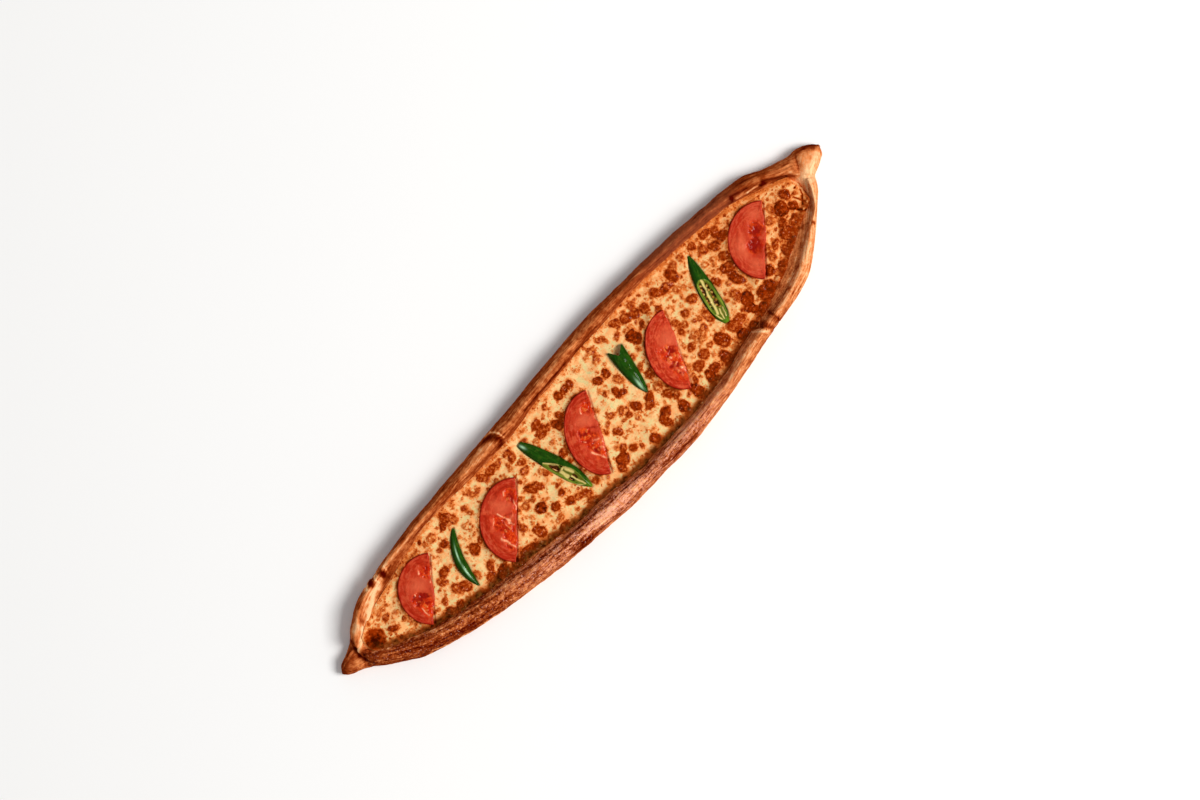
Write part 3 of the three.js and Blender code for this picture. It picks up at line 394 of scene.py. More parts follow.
# x, y is the middle of the cut. The marks are in the slice's own frame, along and across its cut:
# gel and pale are ellipses (place, half sizes, turn in degrees), and streaks are lines (from, to,
# half width, and lightness from -1 for dark to 1 for light). Light streaks are pale flesh, and some
# of them painted highlights on the wet gel. ripe is how dark the flesh has baked.
TOMATOES = [
    {
        "name": "tomato_1", "x": -163.2, "y": 11, "cut": 50, "depth": 23, "turn": 46.6,
        "ripe": 0.5, "seeds": 3,
        "gel": [(-14, 1.6, 8.5, 5, 16), (-8.5, 6.6, 7.6, 5.6, 50), (12, 2.2, 5.4, 5.4, 0)],
        "pale": [(2.2, 8.5, 5.4, 8, 10)],
        "streaks": [
            (-13.7, 6.8, -18.6, 2.2, 0.7, 1), (-5.7, 6, -5.1, 0.4, 0.8, -0.8),
            (-3.4, 11.6, -4.6, 10.8, 0.5, 1), (11, 7, 13, 7.2, 0.6, 1), (4.6, -0.4, 7.4, -0.9, 0.6, 0.9),
            (12, -2.2, 13.4, -2.4, 0.6, 0.9),
        ],
    },
    {
        "name": "tomato_2", "x": -87.9, "y": -0.7, "cut": 59, "depth": 25, "turn": 42.6,
        "ripe": 0.36, "seeds": 3,
        "gel": [
            (-3, 8, 9, 6.6, 62), (-12, 3.4, 8.6, 5.2, 15), (17, 3.4, 5.2, 5.6, 0), (8.5, 0, 3.5, 2.4, 0),
        ],
        "pale": [(10, 10.5, 4.8, 8, 0)],
        "streaks": [
            (-13.4, 9.4, -18.4, 0.2, 0.9, 1), (3.6, 12, -2.4, 0.4, 0.8, 0.9),
            (-0.4, 8, -6, 3.4, 0.5, 0.7), (-4, 14.6, 0.6, 15.4, 0.5, 0.8),
            (-1.6, 4.4, 3.8, 1.6, 1.1, 0.6), (7.6, -0.6, 13.6, 0.6, 0.6, 0.8),
            (16.6, 7.6, 20, 8.4, 0.7, 1), (2.6, 8.6, 4.6, 3, 0.8, -0.7), (-6.5, 10.5, -7.5, 7, 0.7, -0.6),
        ],
    },
    {
        "name": "tomato_3", "x": -3.5, "y": -2.8, "cut": 61, "depth": 23.5, "turn": 59,
        "ripe": 0.22, "seeds": 4,
        "gel": [(-7.5, 4.4, 11.5, 6.4, 22), (0.5, 9, 6, 5, 50), (17.5, 2.4, 6.2, 4.8, 10)],
        "pale": [(10.5, 7.5, 4, 7, 0)],
        "streaks": [
            (-12.6, 8.3, -18.4, -1, 0.9, 1), (4.7, 6, 3.6, -0.6, 0.8, -0.8),
            (-4.6, 4.6, -4.2, 1.2, 1.6, 0.8), (-4, 11.7, -4.4, 10.6, 0.7, 1),
            (-10.4, 0.6, -12, -1.4, 1.3, 0.7), (15.6, 8, 19.6, 7.4, 0.6, 0.9),
            (-1, 14.4, 3.4, 14.6, 0.5, 0.5), (-8, -0.8, -2, -2.2, 1, 0.6),
        ],
    },
    {
        "name": "tomato_4", "x": 76.3, "y": -4.9, "cut": 58, "depth": 21.5, "turn": 61.9,
        "ripe": 0, "seeds": 5,
        "gel": [(-8.5, 3, 13.5, 7.2, 12), (-0.5, 7.5, 6.4, 6, 40)],
        "pale": [(8, 4, 7, 7, 0)],
        "streaks": [
            (-6.5, 9.6, -18, 2.2, 1, 0.6), (2.8, 4, 1.8, -1, 0.7, -0.6), (-3.6, 7, -4.6, 6.2, 1.1, 1),
            (-13, 1.6, -15, 0.4, 1.4, 1), (-9.4, 4.6, -8.4, 3, 0.6, 0.8), (-6, 1.4, -5, 0.2, 0.6, 0.7),
        ],
    },
    {
        "name": "tomato_5", "x": 173.3, "y": 1.4, "cut": 55, "depth": 25, "turn": 44.5,
        "ripe": 0.3, "seeds": 0,
        "gel": [(-4.8, 6, 6.4, 6, 30), (7.4, 4.6, 7, 6, -10)],
        "pale": [(-6, 16, 9, 6, 25), (17, 6, 5.6, 5, 0), (-16, 6, 6, 6, 0), (2, 1.4, 3, 4, 0)],
        "streaks": [
            (-7, 3.8, -3.6, 6.8, 5.2, -0.9), (5.4, 4, 8.4, 3, 5.4, -0.85), (10, 0.4, 12.6, 2.4, 0.5, 0.8),
            (1.4, 2.4, 1.6, 9, 1.3, 0.5), (-5, 13, 4, 15, 2.6, 0.3),
        ],
    },
]

PEPPER_SEAT = 11.6  # height of the pieces' undersides
PEPPER_RINGS, PEPPER_AROUND = 150, 72
PEPPER_CAP, PEPPER_UNDER = 7, 12  # rings that round off an end, steps across the flat underside
PEPPER_SEED = 12  # of its random numbers
PEPPER_FOOT = math.radians(28)  # how far a piece's arch turns in below its sides
# from and to are the ends, bow is how far the piece bows to the side, and width is its width along
# it. In a cut, dark are hollows (share of the length, off the middle, half sizes), pith are strips
# (from, to, half width) and seeds are places. Painted highlights on the skin are given like dark.
PEPPERS = [
    {
        "name": "pepper_1", "from": (-121.5, 27.6), "to": (-139, -12.3), "bow": -5, "height": 6,
        "width": [(0, 1.8), (0.15, 4.6), (0.4, 7), (0.62, 7.6), (0.82, 5.6), (1, 1.4)],
        "bloom": [(0.42, 0, 7, 0.5), (0.72, 0.3, 6, 0.6)],
    },
    {
        "name": "pepper_2", "from": (-47.2, 32.5), "to": (-34.6, -24.9), "bow": 0.6, "height": 6.4,
        "width": [(0, 4.4), (0.1, 7.6), (0.25, 9.8), (0.5, 12), (0.7, 11.6), (0.86, 8.2), (1, 1.8)],
        "bloom": [(0.05, -0.5, 2.2, 0.9)],
        "cut": {
            "from": 0.28, "slant": 0.03, "lean": 0.35,
            "dark": [
                (0.5, -2.3, 5, 2.1), (0.555, 1.2, 1.3, 0.9), (0.75, -3.6, 2.2, 1.3),
                (0.76, -0.2, 2.2, 1.2),
            ],
            "pith": [
                (0.6, -2.6, 0.69, -3, 1.3), (0.62, 1.2, 0.71, 1.8, 1.2), (0.36, -3, 0.52, 0.4, 0.7),
                (0.73, -1.6, 0.97, -0.4, 0.5), (0.82, -5, 0.96, -1.4, 0.5), (0.585, -2.6, 0.59, 0.8, 0.6),
            ],
            "seeds": [],
        },
    },
    {
        "name": "pepper_3", "from": (47.2, 27.6), "to": (40.2, -9.4), "bow": -0.6, "height": 7,
        "width": [(0, 12.6), (0.2, 12.2), (0.5, 10.6), (0.75, 8), (0.9, 4.8), (1, 1.6)],
        "notch": {"reach": 6, "run": 0.45}, "bloom": [(0.8, -0.8, 6, 0.9)],
    },
    {
        "name": "pepper_4", "from": (129.8, 32.5), "to": (113.8, -18.5), "bow": -1.2, "height": 6.4,
        "width": [(0, 1.8), (0.12, 6), (0.3, 9.6), (0.5, 12), (0.7, 12.3), (0.86, 10.4), (1, 3.6)],
        "cut": {
            "from": 0.26, "slant": 0.004, "lean": 0,
            "dark": [
                (0.47, -2.8, 5.5, 1.9), (0.62, -3.6, 5, 1.6), (0.58, 2.8, 3.4, 1.5),
                (0.71, 1.4, 3.6, 1.6), (0.46, 1.8, 3, 0.9), (0.74, -4.2, 2.6, 1.2),
            ],
            "pith": [
                (0.36, 0.1, 0.58, -0.6, 0.75), (0.58, -0.6, 0.84, -2, 0.8), (0.8, 0.6, 0.94, -0.6, 0.4),
                (0.84, -3.6, 0.95, -2, 0.4), (0.8, 3, 0.92, 1.8, 0.4),
            ],
            "seeds": [
                (0.42, -2.2), (0.47, -3), (0.53, -3.3), (0.58, -2.4), (0.62, -3.8), (0.66, -2.9),
                (0.71, -4.2), (0.76, -4.8), (0.45, 1.7), (0.51, 1.3), (0.56, 2.6), (0.62, 1.4),
                (0.67, 2.2), (0.73, 0.6), (0.77, 1.9),
            ],
        },
    },
]
PEPPER_WALL = 1.1  # thickness of the cut flesh
PEPPER_SEED_HALVES = (1.15, 0.8)  # half sizes of a seed
PEPPER_STRETCH = 56.0  # places along a cut, given as shares, are this many millimetres in all


def srgb(red, green, blue):
    """A screen colour, given from 0 to 255, as the linear colour that materials take."""
    shares = (channel / 255 for channel in (red, green, blue))
    return tuple(s / 12.92 if s <= 0.04045 else ((s + 0.055) / 1.055) ** 2.4 for s in shares)


# ---- Helpers: curves, noise and grids


def ease(value, low, high):
    """Goes smoothly from 0 at low to 1 at high."""
    t = np.clip((value - low) / (high - low), 0, 1)
    return t * t * (3 - 2 * t)


def lerp(start, end, share):
    return start + (end - start) * share


def slopes_along(rises):
    """Slopes at a curve's points, from the rises of its stretches, so that it never swings past them."""
    product = rises[:-1] * rises[1:]
    total = rises[:-1] + rises[1:]
    inner = np.where(product > 0, 2 * product / np.where(product > 0, total, 1), 0)
    return np.concatenate([rises[:1], inner, rises[-1:]])


def curve_at(values, slopes, i, length, share):
    """A smooth curve's value at a share of its stretch after point i, which is length long."""
    bend = share * (1 - share) * length
    eased = lerp(values[i], values[i + 1], share * share * (3 - 2 * share))
    return eased + bend * ((1 - share) * slopes[i] - share * slopes[i + 1])


def profile(pairs):
    """A smooth curve through (x, value) pairs, for arrays of x."""
    xs, values = np.array(pairs, float).T
    slopes = slopes_along(np.diff(values) / np.diff(xs))

    def at(x):
        x = np.clip(x, xs[0], xs[-1])
        i = np.clip(np.searchsorted(xs, x, side="right") - 1, 0, len(xs) - 2)
        length = xs[i + 1] - xs[i]
        return curve_at(values, slopes, i, length, (x - xs[i]) / length)

    return at


def through(points, counts):
    """Rows of points refined along smooth curves, with counts[k] steps in the k-th gap."""
    columns = np.moveaxis(points, 1, 0)
    chords = np.linalg.norm(np.diff(columns, axis=0), axis=2)[..., None] + 1e-6
    slopes = slopes_along(np.diff(columns, axis=0) / chords)
    fine = [
        curve_at(columns, slopes, k, chords[k], share)
        for k, count in enumerate(counts)
        for share in np.arange(count) / count
    ]
    return np.stack([*fine, columns[-1]], axis=1)


def noise_at(points, size, seed=0.0):
    """Smooth noise from -1 to 1 at each point, with features about size across."""
    moved = np.asarray(points, float) / size + seed
    flat = [noise.noise(point) for point in moved.reshape(-1, 3).tolist()]
    return np.array(flat).reshape(moved.shape[:-1])


def uneven(points, *layers):
    """Layers of smooth noise, each with its height, the size of its features and its seed."""
    return sum(height * noise_at(points, size, seed) for height, size, seed in layers)


def joined(*parts):
    """Places put together from their parts, which are arrays or single numbers."""
    return np.stack(np.broadcast_arrays(*parts), axis=-1)


def seeded_random(seed):
    """The CAD model's random number maker, so that both place the same lumps."""
    state = seed
    while True:
        state = (state * 1664525 + 1013904223) % 4294967296
        yield state / 4294967296


def grid_place(along, across):
    """A place given in steps of the layout grid, in millimetres."""
    return (along + GRID_SHIFT[0]) * GRID_STEP, (across + GRID_SHIFT[1]) * GRID_STEP


def turned(x, y, turn):
    """Places read along and across a direction that is turned by an angle."""
    cosine, sine = math.cos(turn), math.sin(turn)
    return x * cosine + y * sine, y * cosine - x * sine


def from_ellipse(x, y, along, across, half_long, half_wide, turn=0.0):
    """Distance from the middle of an ellipse turned by degrees: 1 on its edge."""
    along, across = turned(x - along, y - across, math.radians(turn))
    return np.hypot(along / half_long, across / half_wide)


def line_distance(x, y, x0, y0, x1, y1):
    """Distance from a straight stretch."""
    share = ((x - x0) * (x1 - x0) + (y - y0) * (y1 - y0)) / ((x1 - x0) ** 2 + (y1 - y0) ** 2)
    share = np.clip(share, 0, 1)
    return np.hypot(x - lerp(x0, x1, share), y - lerp(y0, y1, share))


def from_grid_line(x, y, x0, y0, x1, y1, half_width):
    """Distance from a line that is given in grid steps, as a share of its half width."""
    return line_distance(x, y, *grid_place(x0, y0), *grid_place(x1, y1)) / (half_width * GRID_STEP)


def from_grid_spot(x, y, along, across, radius):
    """Distance from a round spot's middle that is given in grid steps: 1 on its edge."""
    centre = grid_place(along, across)
    return np.hypot(x - centre[0], y - centre[1]) / (radius * GRID_STEP)


def hill(distance):
    """1 in the middle, falling smoothly to nothing past a distance of 1."""
    return np.exp(-(distance**2))


# ---- Helpers: meshes and pieces


def vertex_array(mesh, field="co"):
    flat = np.empty(len(mesh.vertices) * 3)
    mesh.vertices.foreach_get(field, flat)
    return flat.reshape(-1, 3)


def mesh_from(bm, name):
    mesh = bpy.data.meshes.new(name)
    bm.to_mesh(mesh)
    bm.free()
    return mesh


def closed_tube(table):
    """A sphere to be drawn out into a closed piece: its mesh, and each point's place in the table."""
    rings, around = len(table) - 1, table.shape[1]
    bm = bmesh.new()
    bmesh.ops.create_uvsphere(bm, u_segments=around, v_segments=rings, radius=1.0)
    bmesh.ops.recalc_face_normals(bm, faces=bm.faces)
    mesh = mesh_from(bm, "tube")
    x, y, z = vertex_array(mesh).T
    ring = np.rint(np.arctan2(np.hypot(x, y), z) / math.pi * rings).astype(int)
    place = np.rint(np.arctan2(y, x) / (2 * math.pi) * around).astype(int) % around
    return mesh, (ring, place)


def move_points(mesh, points):
    """Puts a mesh's points at places given in millimetres."""
    mesh.vertices.foreach_set("co", (points * MM).ravel())
    mesh.update()


def shape_mesh(mesh, points):
    """Puts a mesh's points at their places and turns its faces outward."""
    move_points(mesh, points)
    bm = bmesh.new()
    bm.from_mesh(mesh)
    bmesh.ops.recalc_face_normals(bm, faces=bm.faces)
    bm.to_mesh(mesh)
    bm.free()
    mesh.update()


def raise_mesh(mesh, points, relief, box):
    """Moves the points by relief along the surface's own normals, but not out of the box."""
    raised = points + vertex_array(mesh, "normal") * relief[:, None]
    low, high = (np.array(corner) / MM for corner in box)
    move_points(mesh, np.clip(raised, low, high))


def store(mesh, where=..., **tables):
    """Keeps values on the mesh's points, read from the tables at where, for the materials."""
    for name, table in tables.items():
        value = table[where].astype(np.float32)
        kind, field = ("FLOAT_VECTOR", "vector") if value.ndim == 2 else ("FLOAT", "value")
        layer = mesh.attributes.new(name, kind, "POINT")
        layer.data.foreach_set(field, value.ravel())


def show(name, data):
    """Puts a mesh, a lamp or a camera into the scene."""
    shown = bpy.data.objects.new(name, data)
    bpy.context.scene.collection.objects.link(shown)
    return shown


def add_piece(name, mesh, material, node):
    """Shows a finished mesh in place of its CAD node."""
    mesh.name = name
    mesh.materials.append(material)
    mesh.shade_smooth()
    piece = show(name, mesh)
    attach(piece, "root")
    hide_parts(node)
    return piece


# ---- Helpers: materials


class Finish:
    """A material under construction. Its calls add nodes and give their output."""

    def __init__(self, name):
        self.material = bpy.data.materials.new(name)
        self.material.use_nodes = True
        self.tree = self.material.node_tree
        self.tree.nodes.clear()

    def add(self, kind, inputs, **settings):
        made = self.tree.nodes.new(kind)
        for key, value in settings.items():
            setattr(made, key, value)
        for key, value in inputs.items():
            if isinstance(value, bpy.types.NodeSocket):
                self.tree.links.new(value, made.inputs[key])
            else:
                made.inputs[key].default_value = value
        return made

    def place(self):
        return self.add("ShaderNodeTexCoord", {}).outputs["Object"]

    def value(self, name):
        return self.add("ShaderNodeAttribute", {}, attribute_name=name).outputs["Fac"]

    def vector(self, name):
        return self.add("ShaderNodeAttribute", {}, attribute_name=name).outputs["Vector"]

    def noise(self, vector, scale, detail=2.0, roughness=0.5, distortion=0.0):
        inputs = {
            "Vector": vector, "Scale": scale, "Detail": detail, "Roughness": roughness,
            "Distortion": distortion,
        }
        return self.add("ShaderNodeTexNoise", inputs).outputs["Fac"]

    def cells(self, vector, scale, feature="F1"):
        inputs = {"Vector": vector, "Scale": scale}
        return self.add("ShaderNodeTexVoronoi", inputs, feature=feature).outputs["Distance"]

    def warp(self, vector, scale, amount):
        """The places shifted at random, so that a pattern read there loses its regular form."""
        shift = self.add("ShaderNodeTexNoise", {"Vector": vector, "Scale": scale}).outputs["Color"]
        inputs = {0: shift, 1: (amount, amount, amount), 2: vector}
        return self.add("ShaderNodeVectorMath", inputs, operation="MULTIPLY_ADD").outputs[0]

    def spots(self, vector, scale, size, share):
        """Round spots strewn at random: size as a share of a cell, in that share of the cells."""
        made = self.add("ShaderNodeTexVoronoi", {"Vector": vector, "Scale": scale})
        chosen = self.fit(made.outputs["Color"], 0.97 - 0.9 * share, 1.03 - 0.9 * share)
        spot = self.fit(made.outputs["Distance"], size + 0.13, size - 0.11)
        return self.math("MULTIPLY", spot, chosen)

    def grain(self, colour, pattern, darkest, lightest):
        """Deepens and lightens a colour by a fine pattern."""
        tone = self.fit(pattern, 0.3, 0.7, darkest, lightest, smooth=False)
        return self.mix(1.0, colour, tone, blend="MULTIPLY")

    def words(self):
        """The calls that a material is mostly made of."""
        return self.fit, self.mix, self.plus, self.times, self.value

    def plus(self, first, second):
        return self.math("ADD", first, second)

    def times(self, first, second):
        return self.math("MULTIPLY", first, second)

    def vary(self, value, *changes):
        """Adds patterns to a value, each up or down by its own amount."""
        for pattern, amount in changes:
            value = self.plus(value, self.fit(pattern, 0.25, 0.75, -amount, amount, smooth=False))
        return value

    def math(self, operation, first, second=0.0, third=0.0):
        inputs = {0: first, 1: second, 2: third}
        return self.add("ShaderNodeMath", inputs, operation=operation).outputs[0]

    def fit(self, value, low, high, to_low=0.0, to_high=1.0, smooth=True):
        """Maps low..high onto to_low..to_high."""
        inputs = {0: value, 1: low, 2: high, 3: to_low, 4: to_high}
        kind = "SMOOTHSTEP" if smooth else "LINEAR"
        return self.add("ShaderNodeMapRange", inputs, interpolation_type=kind).outputs[0]

    def mix(self, share, first, second, blend="MIX"):
        sockets = bpy.types.NodeSocket
        first, second = (c if isinstance(c, sockets) else (*c, 1) for c in (first, second))
        inputs = {0: share, 6: first, 7: second}
        return self.add("ShaderNodeMix", inputs, data_type="RGBA", blend_type=blend).outputs[2]

    def tint(self, colour, pattern, low, high, share, other, smooth=True):
        """Mixes up to that share of another colour in, where a pattern goes from low to high."""
        return self.mix(self.fit(pattern, low, high, 0, share, smooth), colour, other)

    def browned(self, level, colours, stops):
        """A ramp that lies so many steps along the colours at each stop's place."""
        channels = np.array([tuple(colour) for colour in colours]).T
        steps = np.arange(len(colours))
        along = [(at, [np.interp(step, steps, c) for c in channels]) for at, step in stops]
        return self.ramp(level, along)

    def ramp(self, value, stops):
        made = self.add("ShaderNodeValToRGB", {"Fac": value})
        elements = made.color_ramp.elements
        for _ in range(len(stops) - 2):
            elements.new(0.5)
        for element, (position, colour) in zip(elements, stops):
            element.position = position
            element.color = (*colour, 1)
        return made.outputs["Color"]

    def bump(self, height, strength, distance):
        inputs = {"Height": height, "Strength": strength, "Distance": distance}
        return self.add("ShaderNodeBump", inputs).outputs["Normal"]

    def done(self, **inputs):
        named = {key.replace("_", " "): value for key, value in inputs.items()}
        shader = self.add("ShaderNodeBsdfPrincipled", named)
        self.add("ShaderNodeOutputMaterial", {"Surface": shader.outputs[0]})
        return self.material


# ---- Settings


def colour_setting(name, description, default):
    return FloatVectorProperty(
        name=name, description=description, default=default, subtype="COLOR", min=0, max=1
    )


def length_setting(name, description, default):
    return FloatProperty(
        name=name, description=description, default=default, unit="LENGTH", min=0, precision=5
    )


class PideCrustSettings(bpy.types.PropertyGroup):
    lumps: length_setting("Lumps", "How far the dough's broad lumps rise and sink", 0.0007)
    streaks: length_setting("Streaks", "How far the streaks along the rim rise and sink", 0.00032)
    browning: FloatProperty(
        name="Browning", description="Added to how browned the whole crust is", default=0.0,
        min=-0.5, max=0.5,
    )
    pale: colour_setting("Pale", "Colour of the palest dough", srgb(250, 204, 152))
    golden: colour_setting("Golden", "Colour of golden dough", srgb(224, 132, 74))
    brown: colour_setting("Brown", "Colour of browned dough", srgb(152, 62, 20))
    burnt: colour_setting("Burnt", "Colour of burnt dough", srgb(80, 6, 0))


class PideCheeseSettings(bpy.types.PropertyGroup):
    small_blisters: IntProperty(
        name="Small blisters", description="How many small blisters lie between the large ones",
        default=SMALL_BLISTERS["count"], min=0, max=1500,
    )
    cream: colour_setting("Cream", "Colour of the melted cheese", srgb(250, 205, 143))
    orange: colour_setting("Orange", "Colour round a blister", srgb(224, 124, 56))
    brown: colour_setting("Brown", "Colour of a blister", srgb(154, 48, 2))
    burnt: colour_setting("Burnt", "Colour of a burnt blister", srgb(56, 8, 0))


class PideTomatoSettings(bpy.types.PropertyGroup):
    skin: colour_setting("Skin", "Colour of the skin", srgb(146, 18, 4))
    flesh: colour_setting("Flesh", "Colour of the flesh", srgb(192, 50, 22))
    gel: colour_setting("Gel", "Colour of the seed pockets", srgb(202, 36, 0))
    seed: colour_setting("Seeds", "Colour of the seeds", srgb(236, 146, 70))


class PidePepperSettings(bpy.types.PropertyGroup):
    skin: colour_setting("Skin", "Colour of the skin", srgb(22, 54, 4))
    flesh: colour_setting("Flesh", "Colour of the cut flesh", srgb(76, 102, 22))
    pith: colour_setting("Pith", "Colour of the pale core", srgb(230, 208, 134))
    seed: colour_setting("Seeds", "Colour of the seeds", srgb(210, 172, 92))


class PideStageSettings(bpy.types.PropertyGroup):
    floor: colour_setting("Floor", "Colour of the floor", (0.94, 0.94, 0.94))
    key_power: FloatProperty(
        name="Key light", description="Power of the large soft lamp", default=156.0, min=0, unit="POWER"
    )
    key_size: length_setting("Key size", "Side of the large soft lamp", 1.7)
    sky: FloatProperty(name="Sky", description="Brightness of the even light", default=0.38, min=0)
    camera_height: length_setting("Camera height", "Height of the camera over the filling", 2.0)


# ---- The crust

outer_high, outer_low = profile(OUTER_HIGH), profile(OUTER_LOW)
inner_high, inner_low = profile(INNER_HIGH), profile(INNER_LOW)
rim_top, tail_top, tail_lift = profile(RIM_TOP), profile(TAIL_TOP), profile(TAIL_LIFT)
WALL_CURVES = {
    1: (outer_high, inner_high, profile(SHELF_HIGH)), -1: (outer_low, inner_low, profile(SHELF_LOW)),
}


def crust_stations():
    """Places of the cross sections, closer together at the tips, the laps and the left tail."""
    even = np.linspace(-HALF_LENGTH, HALF_LENGTH, STATION_SAMPLES)
    density = 1 + sum(more * hill((even - x) / reach) for x, more, reach in CROWDED_STATIONS)
    growth = np.cumsum(density)
    growth = (growth - growth[0]) / (growth[-1] - growth[0])
    return np.interp(np.linspace(0, 1, CRUST_STATIONS), growth, even)


def ripple(x, side):
    waves = [h * np.sin(2 * math.pi * (x + side * shift) / length) for length, h, shift in RIPPLES]
    return sum(waves)


def closing(x):
    """0 where the hollow has its full depth, 1 at its ends."""
    return 1 - ease(np.minimum(x - OPENING_FROM, OPENING_TO - x), 0, OPENING_RUN)


def floor_level(x):
    return lerp(FLOOR, END_LEVEL * rim_top(x), closing(x))


def wall_points(x, side):
    """One wall's sections, from the foot over the rim to the floor, as rows of [y, z]."""
    outer, inner, shelf = (curve(x) for curve in WALL_CURVES[side])
    hollow = inner_high(x) - inner_low(x)
    shelf = np.minimum(shelf, SHELF_LIMIT * hollow)
    run = np.minimum(WALL_RUN, RUN_LIMIT * hollow)
    width = np.abs(outer - inner)
    base = tail_lift(x)
    top = rim_top(x) + ripple(x, side) - base
    foot = np.minimum(FOOT_INSET, FOOT_LIMIT * width)
    low = floor_level(x)
    lip = base + top * RIM_SECTION[-1][1]
    points = [(foot, base), (FLANK[0] * foot, base + FLANK[1])]
    points += [(inward * width, base + up * top) for inward, up in RIM_SECTION]
    points.append((width + shelf, lerp(lip, low, SHELF_DROP)))
    points.append((width + shelf + run, lerp(low, lip, TOE_RISE)))
    return np.stack([joined(outer - side * inward, z) for inward, z in points], 1)


def boat_rings(x):
    """The sections up the low wall, over the floor and down the high wall, finely stepped."""
    low = wall_points(x, -1)
    high = wall_points(x, 1)[:, ::-1]
    level = floor_level(x)
    shares = np.arange(1, FLOOR_POINTS + 1) / (FLOOR_POINTS + 1)
    floor = [joined(lerp(low[:, -1, 0], high[:, 0, 0], s), level) for s in shares]
    points = np.concatenate([low, np.stack(floor, 1), high], axis=1)
    return through(points, ring_steps())


def ring_steps():
    return (*WALL_STEPS, *FLOOR_STEPS, *reversed(WALL_STEPS))


def ring_places():
    """Each ring point's place in its section: side, share of the wall and share of the ring."""
    steps = ring_steps()
    knots = np.concatenate([k + np.arange(n) / n for k, n in enumerate(steps)] + [[len(steps)]])
    walls = len(WALL_STEPS)
    side = np.where(knots <= walls, -1, np.where(knots >= len(steps) - walls, 1, 0))
    share = np.where(side < 0, knots, len(steps) - knots) / walls
    return side, np.where(side == 0, 1.0, share), knots / len(steps)


def tail_rings(x, ring_share):
    """The sections where the boat is a solid tail: a rounded lump with a flat foot."""
    middle = (outer_high(x) + outer_low(x)) / 2
    half_width = (outer_high(x) - outer_low(x)) / 2
    base = tail_lift(x)
    waist = lerp(base, tail_top(x), WAIST)
    angle = lerp(-FOOT_ANGLE, math.pi + FOOT_ANGLE, ring_share)
    up = np.sin(angle)
    above, below = tail_top(x) - waist, (waist - base) / math.sin(FOOT_ANGLE)
    rise = np.where(up > 0, above[:, None], below[:, None])
    y = middle[:, None] - half_width[:, None] * np.cos(angle)
    return joined(y, waist[:, None] + rise * up)


def crust_table():
    """Every point of the crust, as rows of sections, with its side and share of the wall."""
    x = crust_stations()
    capped = np.clip(x, TIP_REACH - HALF_LENGTH, HALF_LENGTH - TIP_REACH)
    side, share, ring_share = ring_places()
    left, right = TAILS
    tail = 1 - ease(capped, *left) + ease(capped, *right)
    rings = lerp(boat_rings(capped), tail_rings(capped, ring_share), tail[:, None, None])
    back = np.arange(1, BOTTOM_STEPS) / BOTTOM_STEPS
    bottom = lerp(rings[:, -1:], rings[:, :1], back[None, :, None])
    rings = np.concatenate([rings, bottom], axis=1)
    table = joined(capped[:, None], *np.moveaxis(rings, 2, 0))
    start, end = (0 * table[:1] + table[i].mean(axis=0) for i in (0, -1))
    start[..., 0], end[..., 0] = -HALF_LENGTH, HALF_LENGTH
    side = np.concatenate([side, np.full(BOTTOM_STEPS - 1, 2)])
    share = np.concatenate([share, np.zeros(BOTTOM_STEPS - 1)])
    return np.concatenate([start, table, end]), side, share


def lap_edge(y, side):
    """Where along the boat a lap's dough ends."""
    lap = LAPS[side]
    if side > 0:
        back, half = UPPER_LAP_ROUNDING
        return lap["x"] - back * ((y - lap["y"]) / half) ** 2
    return lap["x"] + LOWER_LAP_SLANT * (lap["y"] - y)


def raise_laps(table, side):
    """Lifts the lapping ends, and gives how near each point is to a lap's edge."""
    x, y, z = (table[..., axis] for axis in range(3))
    past = np.full(x.shape, 99.0)
    for which, lap in LAPS.items():
        on_side = side == which
        distance = x - lap_edge(y, which)
        lifted = 1 - ease(distance, -LAP_DROP, LAP_DROP)
        fade = np.exp(-np.maximum(0, -distance) / lap["fade"])
        up = np.clip(z / rim_top(x), 0, 1)
        table[..., 2] += np.where(on_side, lap["lift"] * lifted * fade * up, 0)
        past = np.where(on_side, distance, past)
    return past


def section_lengths(table):
    """How far each point lies from its wall's foot, over the surface."""
    steps = np.linalg.norm(np.diff(table, axis=1), axis=2)
    return np.concatenate([np.zeros((len(table), 1)), np.cumsum(steps, axis=1)], axis=1)


def crust_folds(table, side, share, run):
    """The folds and cracks: how deep each point lies in one, from 0 to 1, and in millimetres."""
    x = table[..., 0]
    depth, dark = np.zeros(x.shape), np.zeros(x.shape)
    for index, (which, start, end, at, deep, width) in enumerate(FOLDS):
        on_side = side == which
        column = np.flatnonzero(on_side)[np.argmin(np.abs(share[on_side] - at))]
        line = joined(x[:, column], 37 * index, 0)
        sway = uneven(line, (1.5, 34, 0), (0.5, 9, 3))
        strength = 0.55 + 0.75 * noise_at(line, 16, 8)
        begun = ease(x[:, column], start, start + FOLD_FADE)
        ends = begun * (1 - ease(x[:, column], end - FOLD_FADE, end))
        amount = np.clip(strength, 0, 1) * ends
        away = np.abs(run - run[:, column : column + 1] - sway[:, None])
        groove = hill(away / width) * amount[:, None] * on_side
        depth = np.maximum(depth, deep * groove)
        dark = np.maximum(dark, groove)
    return depth, dark


def crust_layers(x, side, run):
    """The thin edges of the dough's layers, which run along the rim: 1 on an edge."""
    flow = joined(x / 30, run / 2.6, 5.0 * side)
    layers = hill(noise_at(flow, 1, 3) / 0.07)
    layers += 0.7 * hill(noise_at(flow * (1.7, 1.9, 1), 1, 8) / 0.1)
    much = np.where(side == -1, 0.3 + 0.6 * np.exp(-(((x + 10) / 90) ** 4)), 0.4)
    return np.clip(layers, 0, 1) * much * (np.abs(side) == 1)


